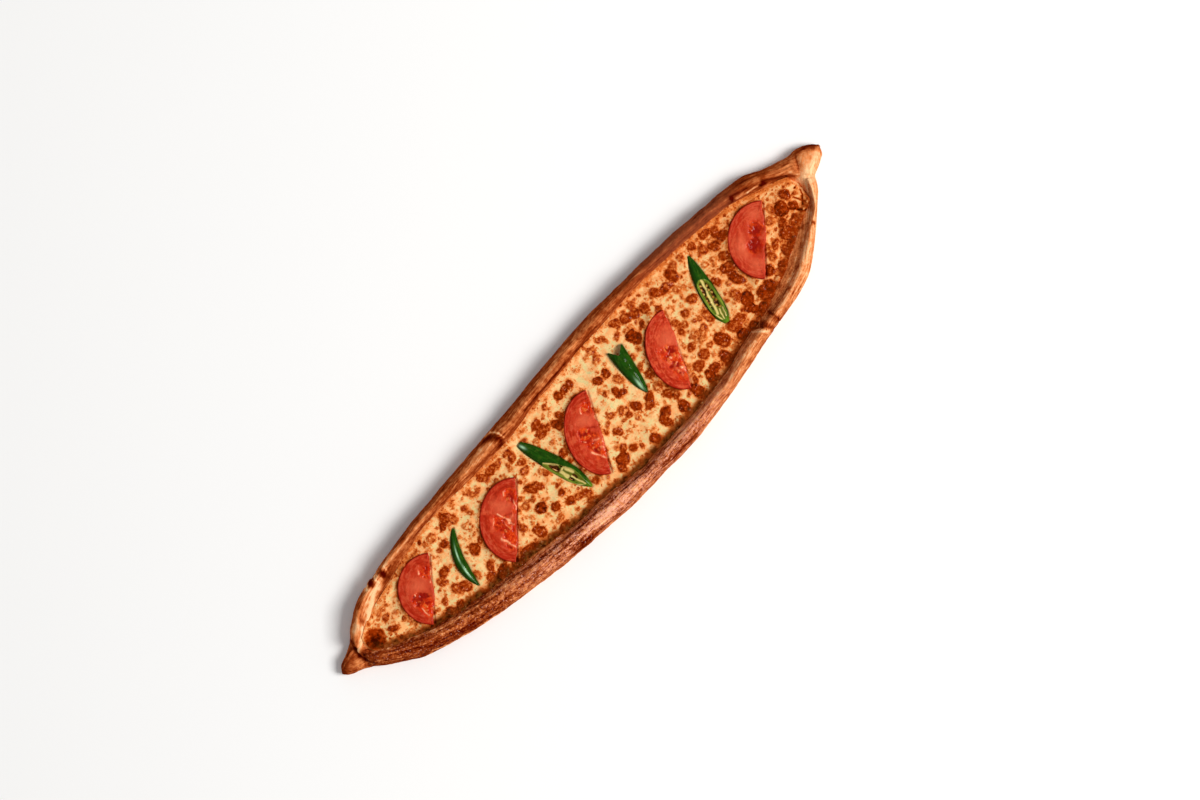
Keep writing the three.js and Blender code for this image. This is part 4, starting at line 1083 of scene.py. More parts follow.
def crust_browning(table, side, share, run, past, dark):
    """How browned each point is: 0 is pale, 1 is burnt."""
    x, y, z = (table[..., axis] for axis in range(3))
    high = profile(BAKE_HIGH)(x) + profile(BAKE_ACROSS_HIGH)(share)
    low = profile(BAKE_LOW)(x) + profile(BAKE_ACROSS_LOW)(share)
    bottom = 0.3 + uneven(table, (0.14, 22, 4), (0.1, 7, 9))
    bake = np.where(side == 1, high, np.where(side == -1, low, profile(BAKE_MIDDLE)(x)))
    bake = np.where(side == 2, bottom, bake)
    flow = joined(x / 16, run / 1.7, 9.0 * side)
    rim = (np.abs(side) == 1) * ease(share, 0.05, 0.2)
    bake += rim * (0.1 * noise_at(flow, 1) + 0.1 * noise_at(flow * (1.6, 1.7, 1), 1, 6))
    bake += uneven(table, (0.1, 8, 2), (0.13, 2.8, 4)) * (side != 2)
    bake += 0.22 * dark + 0.2 * crust_layers(x, side, run)
    bake -= 0.12 * hill((past + 1.4) / 2.2) * (side == -1) * ease(share, 0.2, 0.4)
    warp = joined(noise_at(table, 6, 11), noise_at(table, 6, 17))
    wx, wy = x + 1.6 * warp[..., 0], y + 1.6 * warp[..., 1]
    for along, across, half_long, half_wide, turn, browner in CRUST_WASHES:
        halves = (half_long * GRID_STEP, half_wide * GRID_STEP)
        distance = from_ellipse(wx, wy, *grid_place(along, across), *halves, turn)
        bake += browner / 100 * np.exp(-0.8 * distance**2) * (side != 2)
    for *spot, _, burnt in CRUST_LUMPS:
        bake += burnt * hill(from_grid_spot(wx, wy, *spot)) * (side != 2) * (z > 5)
    # down the steep outer wall the lines wander and fade, so that none runs straight to the foot
    on_wall = np.abs(side) == 1
    wander = 7.0 * noise_at(table, 5, 29) * on_wall * (1 - ease(share, 0.22, 0.32))
    faded = np.where(on_wall, ease(share, 0.14, 0.26), side != 2)
    lx, ly = x + 0.5 * warp[..., 0] + wander, y + 0.5 * warp[..., 1]
    for *line, amount, _ in CRUST_LINES:
        bake += amount * hill(from_grid_line(lx, ly, *line)) * faded
    return bake


def crust_relief(table, side, share, run, depth, settings):
    """How far each point rises from the plain shape, in millimetres."""
    x, y, z = (table[..., axis] for axis in range(3))
    lumps = settings.lumps / MM
    streaks = settings.streaks / MM
    above = ease(z, 1.0, 5.0) * (side != 2)
    rim = above * (np.abs(side) == 1)
    relief = above * lumps * uneven(table, (1, 30, 0), (0.5, 12, 5))
    flow = joined(x / 20, run / 2.1, 9.0 * side)
    relief += rim * streaks * (noise_at(flow, 1) + 0.5 * noise_at(flow * (2.5, 2.1, 1), 1, 7))
    relief += above * uneven(table, (0.2, 3.2, 3), (0.1, 1.4, 1))
    threads = joined(x / 15, run / 1.15, 4.0 * side)
    relief += 0.16 * rim * noise_at(threads, 1, 2)
    relief -= depth + 0.26 * rim * crust_layers(x, side, run)
    for *line, _, height in CRUST_LINES:
        relief += height * hill(from_grid_line(x, y, *line)) * above
    for *spot, height, _ in CRUST_LUMPS:
        distance = from_grid_spot(x, y, *spot)
        dome = np.sqrt(np.clip(1 - distance**2, 0, 1)) * (0.8 + 0.2 * np.cos(5 * distance))
        relief += height * dome * above * (share < 0.92)
    return relief


# Where the material passes from each of the crust's four colours to the next: browning, and steps
# along the colours.
CRUST_STOPS = [(0, 0), (0.17, 0.5), (0.32, 1), (0.47, 1.52), (0.61, 2), (0.8, 2.6), (1, 3)]
# Painted light among these tints: a pinkish sheen and glints as painted highlights, and a dull greyish
# sheen painted over the high rim's right part.
CRUST_SHEEN, CRUST_GLINT, CRUST_DULL_SHEEN = srgb(248, 176, 148), srgb(250, 186, 164), srgb(158, 88, 58)


def crust_material(settings):
    finish = Finish("baked_dough")
    fit, mix, plus, times, value = finish.words()
    place, flow = finish.place(), finish.vector("flow")
    bake, gloss = value("bake"), value("gloss")
    blotch = finish.noise(place, 260, 4, 0.65)
    freckle = finish.noise(place, 620, 3, 0.65, 0.3)
    fine = finish.noise(place, 1150, 2, 0.6)
    streak = finish.noise(flow, 1.0, 3, 0.65)
    thread = finish.noise(flow, 2.4, 3, 0.6)
    speckle = finish.vary(0.0, (blotch, 0.34), (freckle, 0.4), (fine, 0.1))
    lines = finish.vary(0.0, (blotch, 0.1), (freckle, 0.12), (fine, 0.1), (streak, 0.3), (thread, 0.3))
    lines = finish.math("SUBTRACT", lines, speckle)
    change = finish.math("MULTIPLY_ADD", value("stripes"), lines, third=speckle)
    crack = finish.math("ABSOLUTE", finish.math("SUBTRACT", finish.noise(flow, 1.6, 3, 0.6), 0.5))
    crack = times(fit(crack, 0.045, 0.0, 0, 0.4), fit(blotch, 0.4, 0.55))
    glaze = finish.cells(finish.warp(place, 560, 0.0016), 400, "DISTANCE_TO_EDGE")
    crack = plus(crack, fit(glaze, 0.12, 0.02, 0, 0.26))
    change = finish.math("MULTIPLY_ADD", crack, gloss, third=change)
    change = times(change, value("grain"))
    level = plus(plus(bake, settings.browning), change)
    colours = (settings.pale, settings.golden, settings.brown, settings.burnt)
    colour = finish.browned(level, colours, CRUST_STOPS)
    # painted highlight: a pinkish sheen on the low rim's lighter dough
    sheen = times(gloss, fit(level, 0.7, 0.4))
    sheen = times(sheen, fit(freckle, 0.4, 0.6, 0, 0.85))
    colour = mix(sheen, colour, CRUST_SHEEN)
    # painted glints: light specks where the dough is oily, which there also gets a glossy coat
    glint = fit(finish.noise(place, 700), 0.63, 0.69)
    glint = times(glint, value("oily"))
    colour = mix(glint, colour, CRUST_GLINT)
    # painted sheen: a dull greyish tint over the high rim's right part, in place of reflected light
    colour = mix(value("dusty"), colour, CRUST_DULL_SHEEN)
    colour = finish.grain(colour, fine, 0.86, 1.12)
    pores = finish.cells(place, 700)
    height = plus(fit(pores, 0.0, 0.5, 0, 0.4), fine)
    for pattern in (freckle, streak, thread):
        height = plus(height, pattern)
    normal = finish.bump(height, 0.6, 0.0006)
    shine = fit(finish.noise(place, 330, 3), 0.3, 0.7, 0.4, 0.6)
    coat = times(glint, 0.4)
    return finish.done(
        Base_Color=colour, Roughness=shine, Normal=normal, Coat_Weight=coat, Coat_Roughness=0.14,
        Specular_IOR_Level=0.0,
    )


def build_crust(settings):
    table, side, share = crust_table()
    past = raise_laps(table, side)
    run = section_lengths(table)
    total = run[:, sum(ring_steps())]
    run = np.where(side == 1, total[:, None] - run, run)
    depth, dark = crust_folds(table, side, share, run)
    side, share = np.broadcast_to(side, run.shape), np.broadcast_to(share, run.shape)
    bake = crust_browning(table, side, share, run, past, dark)
    relief = crust_relief(table, side, share, run, depth, settings)
    mesh, where = closed_tube(table)
    points = table[where]
    shape_mesh(mesh, points)
    raise_mesh(mesh, points, relief[where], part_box("crust"))
    x = table[..., 0]
    on_high, on_low = side == 1, side == -1
    # the low rim's middle gets layered cracks and a painted pinkish sheen
    gloss = np.exp(-(((x + 22) / 92) ** 4)) * on_low
    gloss = gloss * ease(share, 0.24, 0.4) * (1 - ease(share, 0.78, 0.88))
    grain = np.where(on_high, profile(GRAIN_HIGH)(x), np.where(on_low, profile(GRAIN_LOW)(x), 0.4))
    # where the painted dull sheen lies: the high rim's right part
    dusty = 0.4 * on_high * ease(x, 70, 130) * (1 - ease(x, 165, 195))
    store(
        mesh, where, bake=bake, gloss=gloss, grain=grain,
        flow=joined(x / 22, run / 1.7, 7.0 * side),
        stripes=np.where(on_low, profile(STRIPES_LOW)(x), 0.8),
        # where painted glints lie on the low rim
        oily=on_low * profile(OIL_AND_GLINT_LOW)(x) * ease(share, 0.3, 0.45),
        dusty=dusty * (1 - ease(bake, 0.75, 0.95)),
    )
    return add_piece("dough_boat", mesh, crust_material(settings), "crust")


class PIDE_OT_crust(bpy.types.Operator):
    """Builds the baked dough: the rim with its laps, folds and blisters, the tails and the bottom"""

    bl_idname = "pide.crust"
    bl_label = "Dough boat"

    def execute(self, context):
        build_crust(context.scene.pide_crust)
        return {"FINISHED"}


# ---- The cheese


def cheese_lumps():
    """Rows of x, y, radius and height: the same low lumps as the CAD cheese has."""
    random = seeded_random(CHEESE_LUMPS["seed"])
    rows = []
    for _ in range(CHEESE_LUMPS["count"]):
        x = lerp(LUMPS_FROM, LUMPS_TO, next(random))
        y = lerp(inner_low(x) + LUMPS_INSET, inner_high(x) - LUMPS_INSET, next(random))
        radius = lerp(*CHEESE_LUMPS["radius"], next(random))
        rows.append((x, y, radius, lerp(*CHEESE_LUMPS["height"], next(random))))
    return rows


def cheese_level(x, y, low, high):
    """The cheese's top without its blisters."""
    from_wall = np.minimum(y - low, high - y)
    from_end = np.minimum(x - CHEESE_FROM, CHEESE_TO - x)
    rise, width = CHEESE_EDGE
    end_rise, end_run = CHEESE_ENDS
    edge = rise * (1 - ease(from_wall, 0, width))
    end = end_rise * (1 - ease(from_end, 0, end_run))
    bumps = sum(h * np.exp(-((x - cx) ** 2 + (y - cy) ** 2) / r**2) for cx, cy, r, h in cheese_lumps())
    return CHEESE_TOP + edge + end + np.minimum(LUMPS_TALLEST, bumps)


def all_blisters(settings):
    """Rows of x, y, radius and darkness: the placed blisters and small ones strewn between."""
    rows = [(*grid_place(a, c), radius * GRID_STEP, dark / 100) for a, c, radius, dark in BLISTERS]
    random = np.random.default_rng(SMALL_BLISTERS["seed"])
    wanted = len(rows) + settings.small_blisters
    for _ in range(TRIES * settings.small_blisters):
        if len(rows) >= wanted:
            break
        x = random.uniform(CHEESE_FROM + 6, CHEESE_TO - 4)
        y = lerp(inner_low(x) - 1, inner_high(x) - 4.5, random.uniform())
        radius = lerp(*SMALL_BLISTERS["radius"], random.uniform() ** MOSTLY_SMALL)
        dark = lerp(*SMALL_BLISTERS["dark"], random.uniform())
        if random.uniform() > (SPARSE["share"] if x < SPARSE["up to"] else 1):
            continue
        if all((x - cx) ** 2 + (y - cy) ** 2 > (CROWDING * (radius + r)) ** 2 for cx, cy, r, _ in rows):
            rows.append((x, y, radius, dark))
    return rows


def cheese_blisters(x, y, settings):
    """The blisters: how far inside one each point lies, how dark it is, its warm ring, its rise."""
    spot = joined(0.8 * x + 0.6 * y, 0.8 * y - 0.6 * x, 0)
    wx = x + uneven(spot, (0.6, 5, 2), (0.4, 2.6, 5))
    wy = y + uneven(spot, (0.6, 5, 7), (0.4, 2.6, 9))
    inside, darkness = np.full(x.shape, OUTSIDE), np.zeros(x.shape)
    warm, rise = np.zeros(x.shape), np.zeros(x.shape)
    random = np.random.default_rng(SMALL_BLISTERS["seed"] + 1)
    column_x = x[:, 0]
    for cx, cy, radius, dark in all_blisters(settings):
        stretch, turn = random.uniform(1.0, 1.3), random.uniform(0, math.pi)
        phase = random.uniform(0, 2 * math.pi)
        reach = 2.2 * radius + 3
        near = slice(*np.searchsorted(column_x, (cx - reach, cx + reach)))
        along, across = turned(wx[near] - cx, wy[near] - cy, turn)
        angle = np.arctan2(across, along)
        wobble = 1 + 0.1 * np.sin(2 * angle + phase) + 0.05 * np.sin(3 * angle - phase)
        distance = np.hypot(along / stretch, across * stretch**0.5) / (radius * wobble)
        depth = (1 - distance) * radius
        darkness[near] = np.where(depth > inside[near], dark, darkness[near])
        inside[near] = np.maximum(inside[near], depth)
        halo = min(0.34, 0.2 + 0.06 * radius) * np.exp(-np.maximum(0, -depth) / 1.2)
        warm[near] = np.maximum(warm[near], halo)
        dome = np.sqrt(np.clip(1 - distance**2, 0, 1))
        if radius > HOLLOW_FROM:
            dome -= 0.4 * hill(distance / 0.45)
        rise[near] = np.maximum(rise[near], min(BLISTER_RISE * radius, BLISTER_TALLEST) * dome)
    return inside, darkness, warm, rise


def tomato_outline(slice_):
    """A half slice's outline: the skin's arc, then the cut, which waves a little."""
    half = slice_["cut"] / 2
    arc = np.linspace(0, math.pi, TOMATO_AROUND * 5 // 8, endpoint=False)
    cut = np.linspace(-1, 1, TOMATO_AROUND - len(arc), endpoint=False)
    bow = (1 - cut**2) * (1.9 + 0.7 * np.sin(5.2 * cut + slice_["turn"]))
    spot = joined(half * cut, slice_["turn"], 0)
    bow = bow + (1 - cut**4) * (uneven(spot, (0.9, 4.2, 0), (0.4, 1.7, 3)) - 0.4)
    x = np.concatenate([half * np.cos(arc), half * cut])
    return joined(x, np.concatenate([slice_["depth"] * np.sin(arc), -bow]))


def pepper_axis(pepper):
    """A pepper's start and end, its length, and the directions along and across it."""
    start, end = np.array(pepper["from"], float), np.array(pepper["to"], float)
    length = np.linalg.norm(end - start)
    ahead = (end - start) / length
    return start, end, length, ahead, np.array([-ahead[1], ahead[0]])


def pepper_bend(pepper, share):
    """How far the pepper bows to the side at a share of its length."""
    return pepper["bow"] * (1 - (2 * share - 1) ** 2)


def pressed_beds(x, y):
    """How far each point of the cheese lies under a topping, and how close beside a slice's skin."""
    under, beside = np.zeros(x.shape), np.zeros(x.shape)
    for slice_ in TOMATOES:
        along, across = turned(x - slice_["x"], y - slice_["y"], math.radians(slice_["turn"]))
        arc = np.hypot(along / (slice_["cut"] / 2), np.maximum(across, 0) / slice_["depth"])
        under = np.maximum(under, ease(1 - arc, -0.02, 0.06) * ease(across, -2.2, -0.8))
        away = np.maximum(0, (arc - 1) * slice_["depth"])
        beside = np.maximum(beside, np.exp(-away / 1.7) * ease(across, 1.0, 7.0))
    for pepper in PEPPERS:
        start, _, length, ahead, left = pepper_axis(pepper)
        offset = joined(x, y) - start
        share = np.clip(offset @ ahead / length, -0.02, 1.02)
        off = np.abs(offset @ left - pepper_bend(pepper, share))
        half_width = profile(pepper["width"])(share) / 2
        inside = ease(half_width - off, -0.6, 0.8) * (share > -0.015) * (share < 1.015)
        under = np.maximum(under, inside)
    return under, beside


def cheese_grid():
    """A grid with sides pulled down and a bottom bridged across, with each point's place."""
    bm = bmesh.new()
    bmesh.ops.create_grid(bm, x_segments=CHEESE_COLUMNS, y_segments=CHEESE_ROWS, size=0.5)
    border = [edge for edge in bm.edges if edge.is_boundary]
    pulled = bmesh.ops.extrude_edge_only(bm, edges=border)["geom"]
    lowered = [item for item in pulled if isinstance(item, bmesh.types.BMVert)]
    bmesh.ops.translate(bm, verts=lowered, vec=(0, 0, -1))
    lower = [edge for edge in bm.edges if edge.is_boundary]
    rails = [edge for edge in lower if all(abs(abs(v.co.y) - 0.5) < 1e-5 for v in edge.verts)]
    bmesh.ops.bridge_loops(bm, edges=rails)
    bmesh.ops.holes_fill(bm, edges=[edge for edge in bm.edges if edge.is_boundary], sides=0)
    mesh = mesh_from(bm, "cheese")
    x, y, z = vertex_array(mesh).T
    column = np.rint((x + 0.5) * CHEESE_COLUMNS).astype(int)
    row = np.rint((y + 0.5) * CHEESE_ROWS).astype(int)
    return mesh, column, row, z < -0.5


# Brown specks strewn over the cheese: cells in a metre, size, share of the cells, how much browner.
CHEESE_SPECKS = [(230, 0.27, 0.6, 0.26), (400, 0.25, 0.6, 0.24), (760, 0.24, 0.5, 0.16)]
# Where it passes from one of its four colours to the next: browning, and steps along the colours.
CHEESE_STOPS = [(0, 0), (0.12, 0.3), (0.3, 1), (0.44, 1.55), (0.58, 2), (0.78, 2.5), (1, 3)]
# the glint tint is a painted highlight on the blisters
CURD, PEACH, CHEESE_GLINT = srgb(222, 206, 142), srgb(252, 164, 98), srgb(232, 140, 100)
# two tones of painted shade
PAINTED_SHADE_TONES = srgb(42, 12, 0), srgb(116, 66, 22)


def cheese_material(settings):
    finish = Finish("melted_cheese")
    fit, mix, plus, times, value = finish.words()
    place = finish.place()
    shaken = finish.warp(place, 520, 0.0035)
    ragged = finish.noise(place, 430, 3, 0.65)
    mottle = finish.noise(place, 330, 4, 0.65)
    fine = finish.noise(place, 1100, 3, 0.65)
    # the browning read here also carries painted shade by the low wall and beside the slices' skins
    level = finish.vary(value("toast"), (mottle, 0.17), (fine, 0.14))
    for scale, size, share, amount in CHEESE_SPECKS:
        level = plus(level, times(finish.spots(shaken, scale, size, share), amount))
    reach = fit(ragged, 0.25, 0.75, -1.32, 0.22, smooth=False)
    reach = finish.vary(plus(value("inside"), reach), (fine, 0.35))
    char = times(value("dark"), fit(reach, 0.2, 1.6, 1.0, 0.85))
    char = finish.vary(char, (ragged, -0.26), (fine, 0.18), (mottle, 0.22))
    within = fit(reach, -0.8, 0.4)
    level = finish.math("MULTIPLY_ADD", within, finish.math("SUBTRACT", char, level), level)
    colours = (settings.cream, settings.orange, settings.brown, settings.burnt)
    colour = finish.browned(level, colours, CHEESE_STOPS)
    light = fit(level, 0.32, 0.08)
    curd = fit(finish.noise(place, 210, 4, 0.62, 0.5), 0.44, 0.6, 0, 0.85)
    curd = times(times(curd, light), value("curd"))
    colour = mix(curd, colour, CURD)
    peach = fit(finish.noise(place, 170, 3, 0.6, 0.5), 0.5, 0.62, 0, 0.7)
    colour = mix(times(peach, light), colour, PEACH)
    # painted highlights: light specks on the blisters
    glint = fit(finish.noise(place, 560), 0.64, 0.71, 0, 0.6)
    colour = mix(times(glint, within), colour, CHEESE_GLINT)
    # painted shade: a dark olive-brown laid over the cheese along the low wall and beside the slices'
    # skins
    painted_shade_tone = mix(fit(mottle, 0.4, 0.65), *PAINTED_SHADE_TONES)
    colour = finish.grain(mix(value("shade"), colour, painted_shade_tone), fine, 0.84, 1.12)
    return finish.done(
        Base_Color=colour,
        Roughness=fit(finish.noise(place, 260), 0.3, 0.7, 0.2, 0.42),
        Normal=finish.bump(plus(mottle, times(fine, 0.6)), 0.45, 0.0006),
        Coat_Weight=times(within, fit(mottle, 0.56, 0.64, 0, 0.2)),
        Coat_Roughness=0.1, Specular_IOR_Level=0.0,
    )


def cheese_surface(x, y, low_shelf, high_shelf, settings):
    """The cheese's height, and what its material reads, at each point."""
    inside, dark, toast, rise = cheese_blisters(x, y, settings)
    for *line, burnt in BURNT_LINES:
        toast = np.maximum(toast, burnt * hill(from_grid_line(x, y, *line)))
    spot = joined(x, y, 0)
    z = cheese_level(x, y, low_shelf, high_shelf)
    z += uneven(spot, (0.3, 9, 3), (0.15, 3.5, 4), (0.07, 1.6, 5))
    # blisters stay low by the high wall and on the scorched place, which has its own colour
    dx, dy = x - SCORCHED["x"], y - SCORCHED["y"]
    scorched = np.hypot(dx, dy) / SCORCHED["radius"]
    strip = ease(high_shelf - y, 1.0, 5.0)
    calm = strip * (0.4 + 0.6 * ease(scorched, 0.9, 1.3))
    z += rise * calm
    toast = toast * lerp(0.35, 1.0, calm) * ease(scorched, 0.5, 1.2)
    inside = np.where(scorched < 1, OUTSIDE, inside - 2.4 * (1 - strip))
    scorch = (1 - ease(scorched, 0.85, 1.3)) * (0.6 + 0.3 * noise_at(spot, 2.4, 1))
    toast = np.maximum(toast, scorch + 0.55 * hill(np.hypot(dx + 1.5, dy + 1) / 3.4))
    # the edges by the walls are browner; by the low wall this browning also paints the wall's shadow,
    # and more painted shade lies over it
    heat = 0.07 + uneven(spot, (0.1, 17, 6), (0.09, 5, 8)) + 0.06 * ease(x, 40, 120)
    from_low = y - low_shelf + uneven(spot, (1.6, 7, 2), (0.8, 2.6, 6))
    from_high = high_shelf - y + 1.2 * noise_at(spot, 6, 4)
    edge = profile(LOW_EDGE)(x) * (1 - ease(from_low, 1.0, 6.5))
    edge = np.maximum(edge, 0.2 * (1 - ease(from_high, 0.5, 4.5)))
    toast = np.maximum(toast, heat) + edge * (1 - toast) + 0.04 * ease(x, 60, 130)
    under, beside = pressed_beds(x, y)
    patchy = ease(uneven(spot, (1, 5, 9), (0.5, 1.8, 3)), -0.35, 0.3)
    shaded = profile(LOW_SHADE)(x) * (1 - ease(from_low, 0.8, 7.5)) * (0.55 + 0.45 * patchy)
    curd = 1 - 0.6 * ease(x, 60, 170) - 0.3 * (1 - ease(from_high, 2, 9))
    z = lerp(z + 2.2 * beside, np.minimum(z, TOMATO_SEAT + 0.5), under)
    # beside each slice's skin, browning and painted shade are laid on the cheese
    return z, {
        "toast": np.maximum(toast, (0.4 + 0.3 * patchy) * beside), "inside": inside, "dark": dark,
        "curd": curd, "shade": np.maximum(0.8 * beside * patchy, shaded),
    }


def build_cheese(settings):
    """The cheese as a height field between the walls, into which its edges are tucked."""
    x = np.linspace(CHEESE_FROM - 1, CHEESE_TO + 1, CHEESE_COLUMNS + 1)
    shelves, toes, edges = {}, {}, {}
    for side in (-1, 1):
        shelf, toe = np.moveaxis(wall_points(x, side)[:, -2:], 1, 0)
        share = (CHEESE_TOP + 1 - toe[:, 1]) / np.maximum(shelf[:, 1] - toe[:, 1], 0.1)
        edges[side] = lerp(toe[:, :1], shelf[:, :1], np.clip(share, 0, 1)[:, None]) + side * CHEESE_TUCK
        shelves[side], toes[side] = shelf[:, :1], toe[:, 0] - side * GAP
    y = lerp(edges[-1], edges[1], np.linspace(0, 1, CHEESE_ROWS + 1))
    xs = np.broadcast_to(x[:, None], y.shape)
    z, tables = cheese_surface(xs, y, shelves[-1], shelves[1], settings)
    level = floor_level(x)[:, None]
    ends = ease(np.minimum(xs - x[0], x[-1] - xs), 0, 4)
    z = lerp(level - 1.2, np.maximum(z, level + 1), ends)
    mesh, column, row, bottom = cheese_grid()
    points = joined(xs, y, z)[column, row]
    points[bottom, 1] = lerp(toes[-1][column], toes[1][column], row / CHEESE_ROWS)[bottom]
    points[bottom, 2] = np.minimum(floor_level(x) + GAP, z.min(axis=1) - 0.5)[column][bottom]
    shape_mesh(mesh, points)
    store(mesh, (column, row), **tables)
    return add_piece("melted_cheese", mesh, cheese_material(settings), "cheese")


class PIDE_OT_cheese(bpy.types.Operator):
    """Builds the melted cheese with its brown blisters"""

    bl_idname = "pide.cheese"
    bl_label = "Melted cheese"

    def execute(self, context):
        build_cheese(context.scene.pide_cheese)
        return {"FINISHED"}


# ---- Tomato


def outward(outline):
    """The outline's outward direction at each of its points."""
    ahead = np.roll(outline, -1, axis=0) - np.roll(outline, 1, axis=0)
    sideways = joined(ahead[:, 1], -ahead[:, 0])
    return sideways / np.linalg.norm(sideways, axis=1, keepdims=True)


def tomato_table(slice_):
    """Rings from the middle of the top over the edge to the middle of the bottom."""
    outline = tomato_outline(slice_)
    normals = outward(outline)
    centre = np.array([0.0, TOMATO_CENTRE * slice_["depth"]])
    inner = outline - normals * TOMATO_ROUNDING
    rings = [(lerp(centre, inner, s), TOMATO_THICKNESS) for s in np.linspace(0, 1, TOMATO_TOP_RINGS)]
    for angle in np.radians(np.arange(15, 91, 15)):
        flat = outline - normals * TOMATO_ROUNDING * (1 - math.sin(angle))
        rings.append((flat, TOMATO_THICKNESS - TOMATO_ROUNDING * (1 - math.cos(angle))))
    for share in (0.3, 0.6, 0.9):
        flat = outline + normals * TOMATO_BULGE * math.sin(math.pi * share)
        rings.append((flat, lerp(TOMATO_THICKNESS - TOMATO_ROUNDING, TOMATO_FOOT, share)))
    for angle in np.radians((30, 60, 90)):
        flat = outline - normals * TOMATO_FOOT * (1 - math.cos(angle))
        rings.append((flat, TOMATO_FOOT * (1 - math.sin(angle))))
    for share in np.linspace(1, 0, TOMATO_RINGS + 1 - len(rings) + 1)[1:]:
        rings.append((lerp(centre, outline - normals * TOMATO_FOOT, share), 0.0))
    return np.stack([joined(*flat.T, z) for flat, z in rings])


def tomato_marks(x, y, slice_, random):
    """Distance from the skin, and where a slice has gel, seeds, pale or dark flesh, painted highlights.
    """
    spot = joined(x, y, slice_["turn"])
    wx = x + uneven(spot, (2.2, 7, 1), (0.9, 2.4, 2))
    wy = y + uneven(spot, (2.2, 7, 3), (0.9, 2.4, 4))
    sx = x + uneven(spot, (1.1, 5, 5), (0.25, 1.5, 7))
    sy = y + uneven(spot, (1.1, 5, 6), (0.25, 1.5, 8))
    radial = np.hypot(x / (slice_["cut"] / 2), np.maximum(y, 0) / slice_["depth"])
    from_skin = (1 - radial) * np.hypot(x, y) / np.maximum(radial, 0.05)
    gel, pale, seeds = np.zeros((3, *x.shape))
    for pocket in slice_["gel"]:
        along, across, half_long, half_wide, turn = pocket
        gel = np.maximum(gel, 1 - ease(from_ellipse(wx, wy, *pocket), 0.74, 1.2))
        count = round(slice_["seeds"] * half_long * half_wide / SEED_ROOM)
        for index in range(count):
            angle = 2 * math.pi * (index + 0.6 * random.uniform(-1, 1)) / count
            reach = random.uniform(0.25, 0.75)
            local = (reach * half_long * math.cos(angle), reach * half_wide * math.sin(angle))
            seed_x, seed_y = turned(*local, -math.radians(turn))
            lean = turn + math.degrees(angle + random.uniform(-0.5, 0.5))
            size = random.uniform(0.8, 1.1)
            halves = (half * size for half in SEED_HALVES)
            seed = from_ellipse(x, y, along + seed_x, across + seed_y, *halves, lean)
            seeds = np.maximum(seeds, 1 - ease(seed, 0.6, 1.1))
    gel *= ease(from_skin, 4.0, 6.5)
    for patch in slice_["pale"]:
        pale = np.maximum(pale, 0.45 * hill(from_ellipse(wx, wy, *patch)))
    # light streaks are pale flesh, and some of them painted highlights on the wet gel
    for *line, half_width, light in slice_["streaks"]:
        streak = hill(line_distance(sx, sy, *line) / half_width)
        pale += light * streak * (0.9 + 0.4 * noise_at(spot, 2.2, 9))
    return from_skin, gel, seeds * gel, np.clip(pale, -1, 1)


# Tints of the flesh and of the wet seed pockets; the palest streak tint also paints highlights.
UNDER_SKIN, RIM_FLESH, CORE_FLESH = srgb(176, 44, 28), srgb(186, 46, 24), srgb(204, 68, 40)
LIGHT_VEIN, DEEP_VEIN, SOFT_FLESH = srgb(222, 98, 66), srgb(146, 22, 2), srgb(224, 92, 54)
BAKED_FLESH, LIGHT_GEL, GEL_GLOW = srgb(158, 32, 8), srgb(222, 70, 16), srgb(236, 110, 52)
DARK_GEL, PALE_FLESH, PALE_STREAK_AND_HIGHLIGHT = srgb(150, 14, 0), srgb(226, 104, 68), srgb(250, 172, 128)
DARK_STREAK = srgb(134, 14, 0)


def tomato_material(settings):
    finish = Finish("baked_tomato")
    fit, mix, plus, times, value = finish.words()
    place = finish.place()
    gel, depth, pale = value("gel"), value("depth"), value("pale")
    mottle = finish.noise(place, 230, 4, 0.62)
    fine = finish.noise(place, 900, 3, 0.6)
    lines = finish.noise(finish.vector("flow"), 1.0, 3, 0.6)
    rays = finish.noise(finish.vector("ray"), 1.0, 3, 0.6)
    stops = [(0, UNDER_SKIN), (0.1, RIM_FLESH), (0.5, settings.flesh), (1, CORE_FLESH)]
    body = finish.ramp(depth, stops)
    outer = fit(depth, 0.8, 0.4, 0.3, 1)
    body = mix(times(fit(lines, 0.52, 0.62, 0, 0.6), outer), body, LIGHT_VEIN)
    body = mix(times(fit(lines, 0.48, 0.38, 0, 0.6), outer), body, DEEP_VEIN)
    body = finish.tint(body, mottle, 0.48, 0.66, 0.6, SOFT_FLESH)
    body = finish.tint(body, fine, 0.52, 0.7, 0.5, DEEP_VEIN)
    body = mix(times(value("ripe"), 0.6), body, BAKED_FLESH)
    wet = mix(fit(mottle, 0.42, 0.6), settings.gel, LIGHT_GEL)
    wet = finish.tint(wet, fine, 0.54, 0.66, 0.5, GEL_GLOW)
    wet = finish.tint(wet, rays, 0.52, 0.66, 0.6, DARK_GEL)
    colour = mix(gel, body, wet)
    colour = finish.tint(colour, pale, 0.0, 0.6, 0.75, PALE_FLESH, smooth=False)
    # the palest streaks: pale flesh, and painted highlights
    colour = finish.tint(colour, pale, 0.5, 0.9, 0.9, PALE_STREAK_AND_HIGHLIGHT, smooth=False)
    colour = finish.tint(colour, pale, 0.0, -1.0, 0.8, DARK_STREAK, smooth=False)
    colour = mix(times(value("seed"), 0.35), colour, settings.seed)
    colour = mix(value("skin"), colour, settings.skin)
    height = plus(mottle, times(fine, 0.4))
    height = times(height, fit(gel, 0.2, 0.8, 1, 0.3))
    return finish.done(
        Base_Color=finish.grain(colour, fine, 0.9, 1.08),
        Roughness=fit(gel, 0.0, 1.0, 0.34, 0.16, smooth=False),
        Normal=finish.bump(height, 0.45, 0.0006),
        Coat_Weight=fit(gel, 0.0, 1.0, 0.02, 0.13, smooth=False), Coat_Roughness=0.08,
        Specular_IOR_Level=0.03, Subsurface_Weight=0.06, Subsurface_Radius=(0.004, 0.0012, 0.0008),
    )


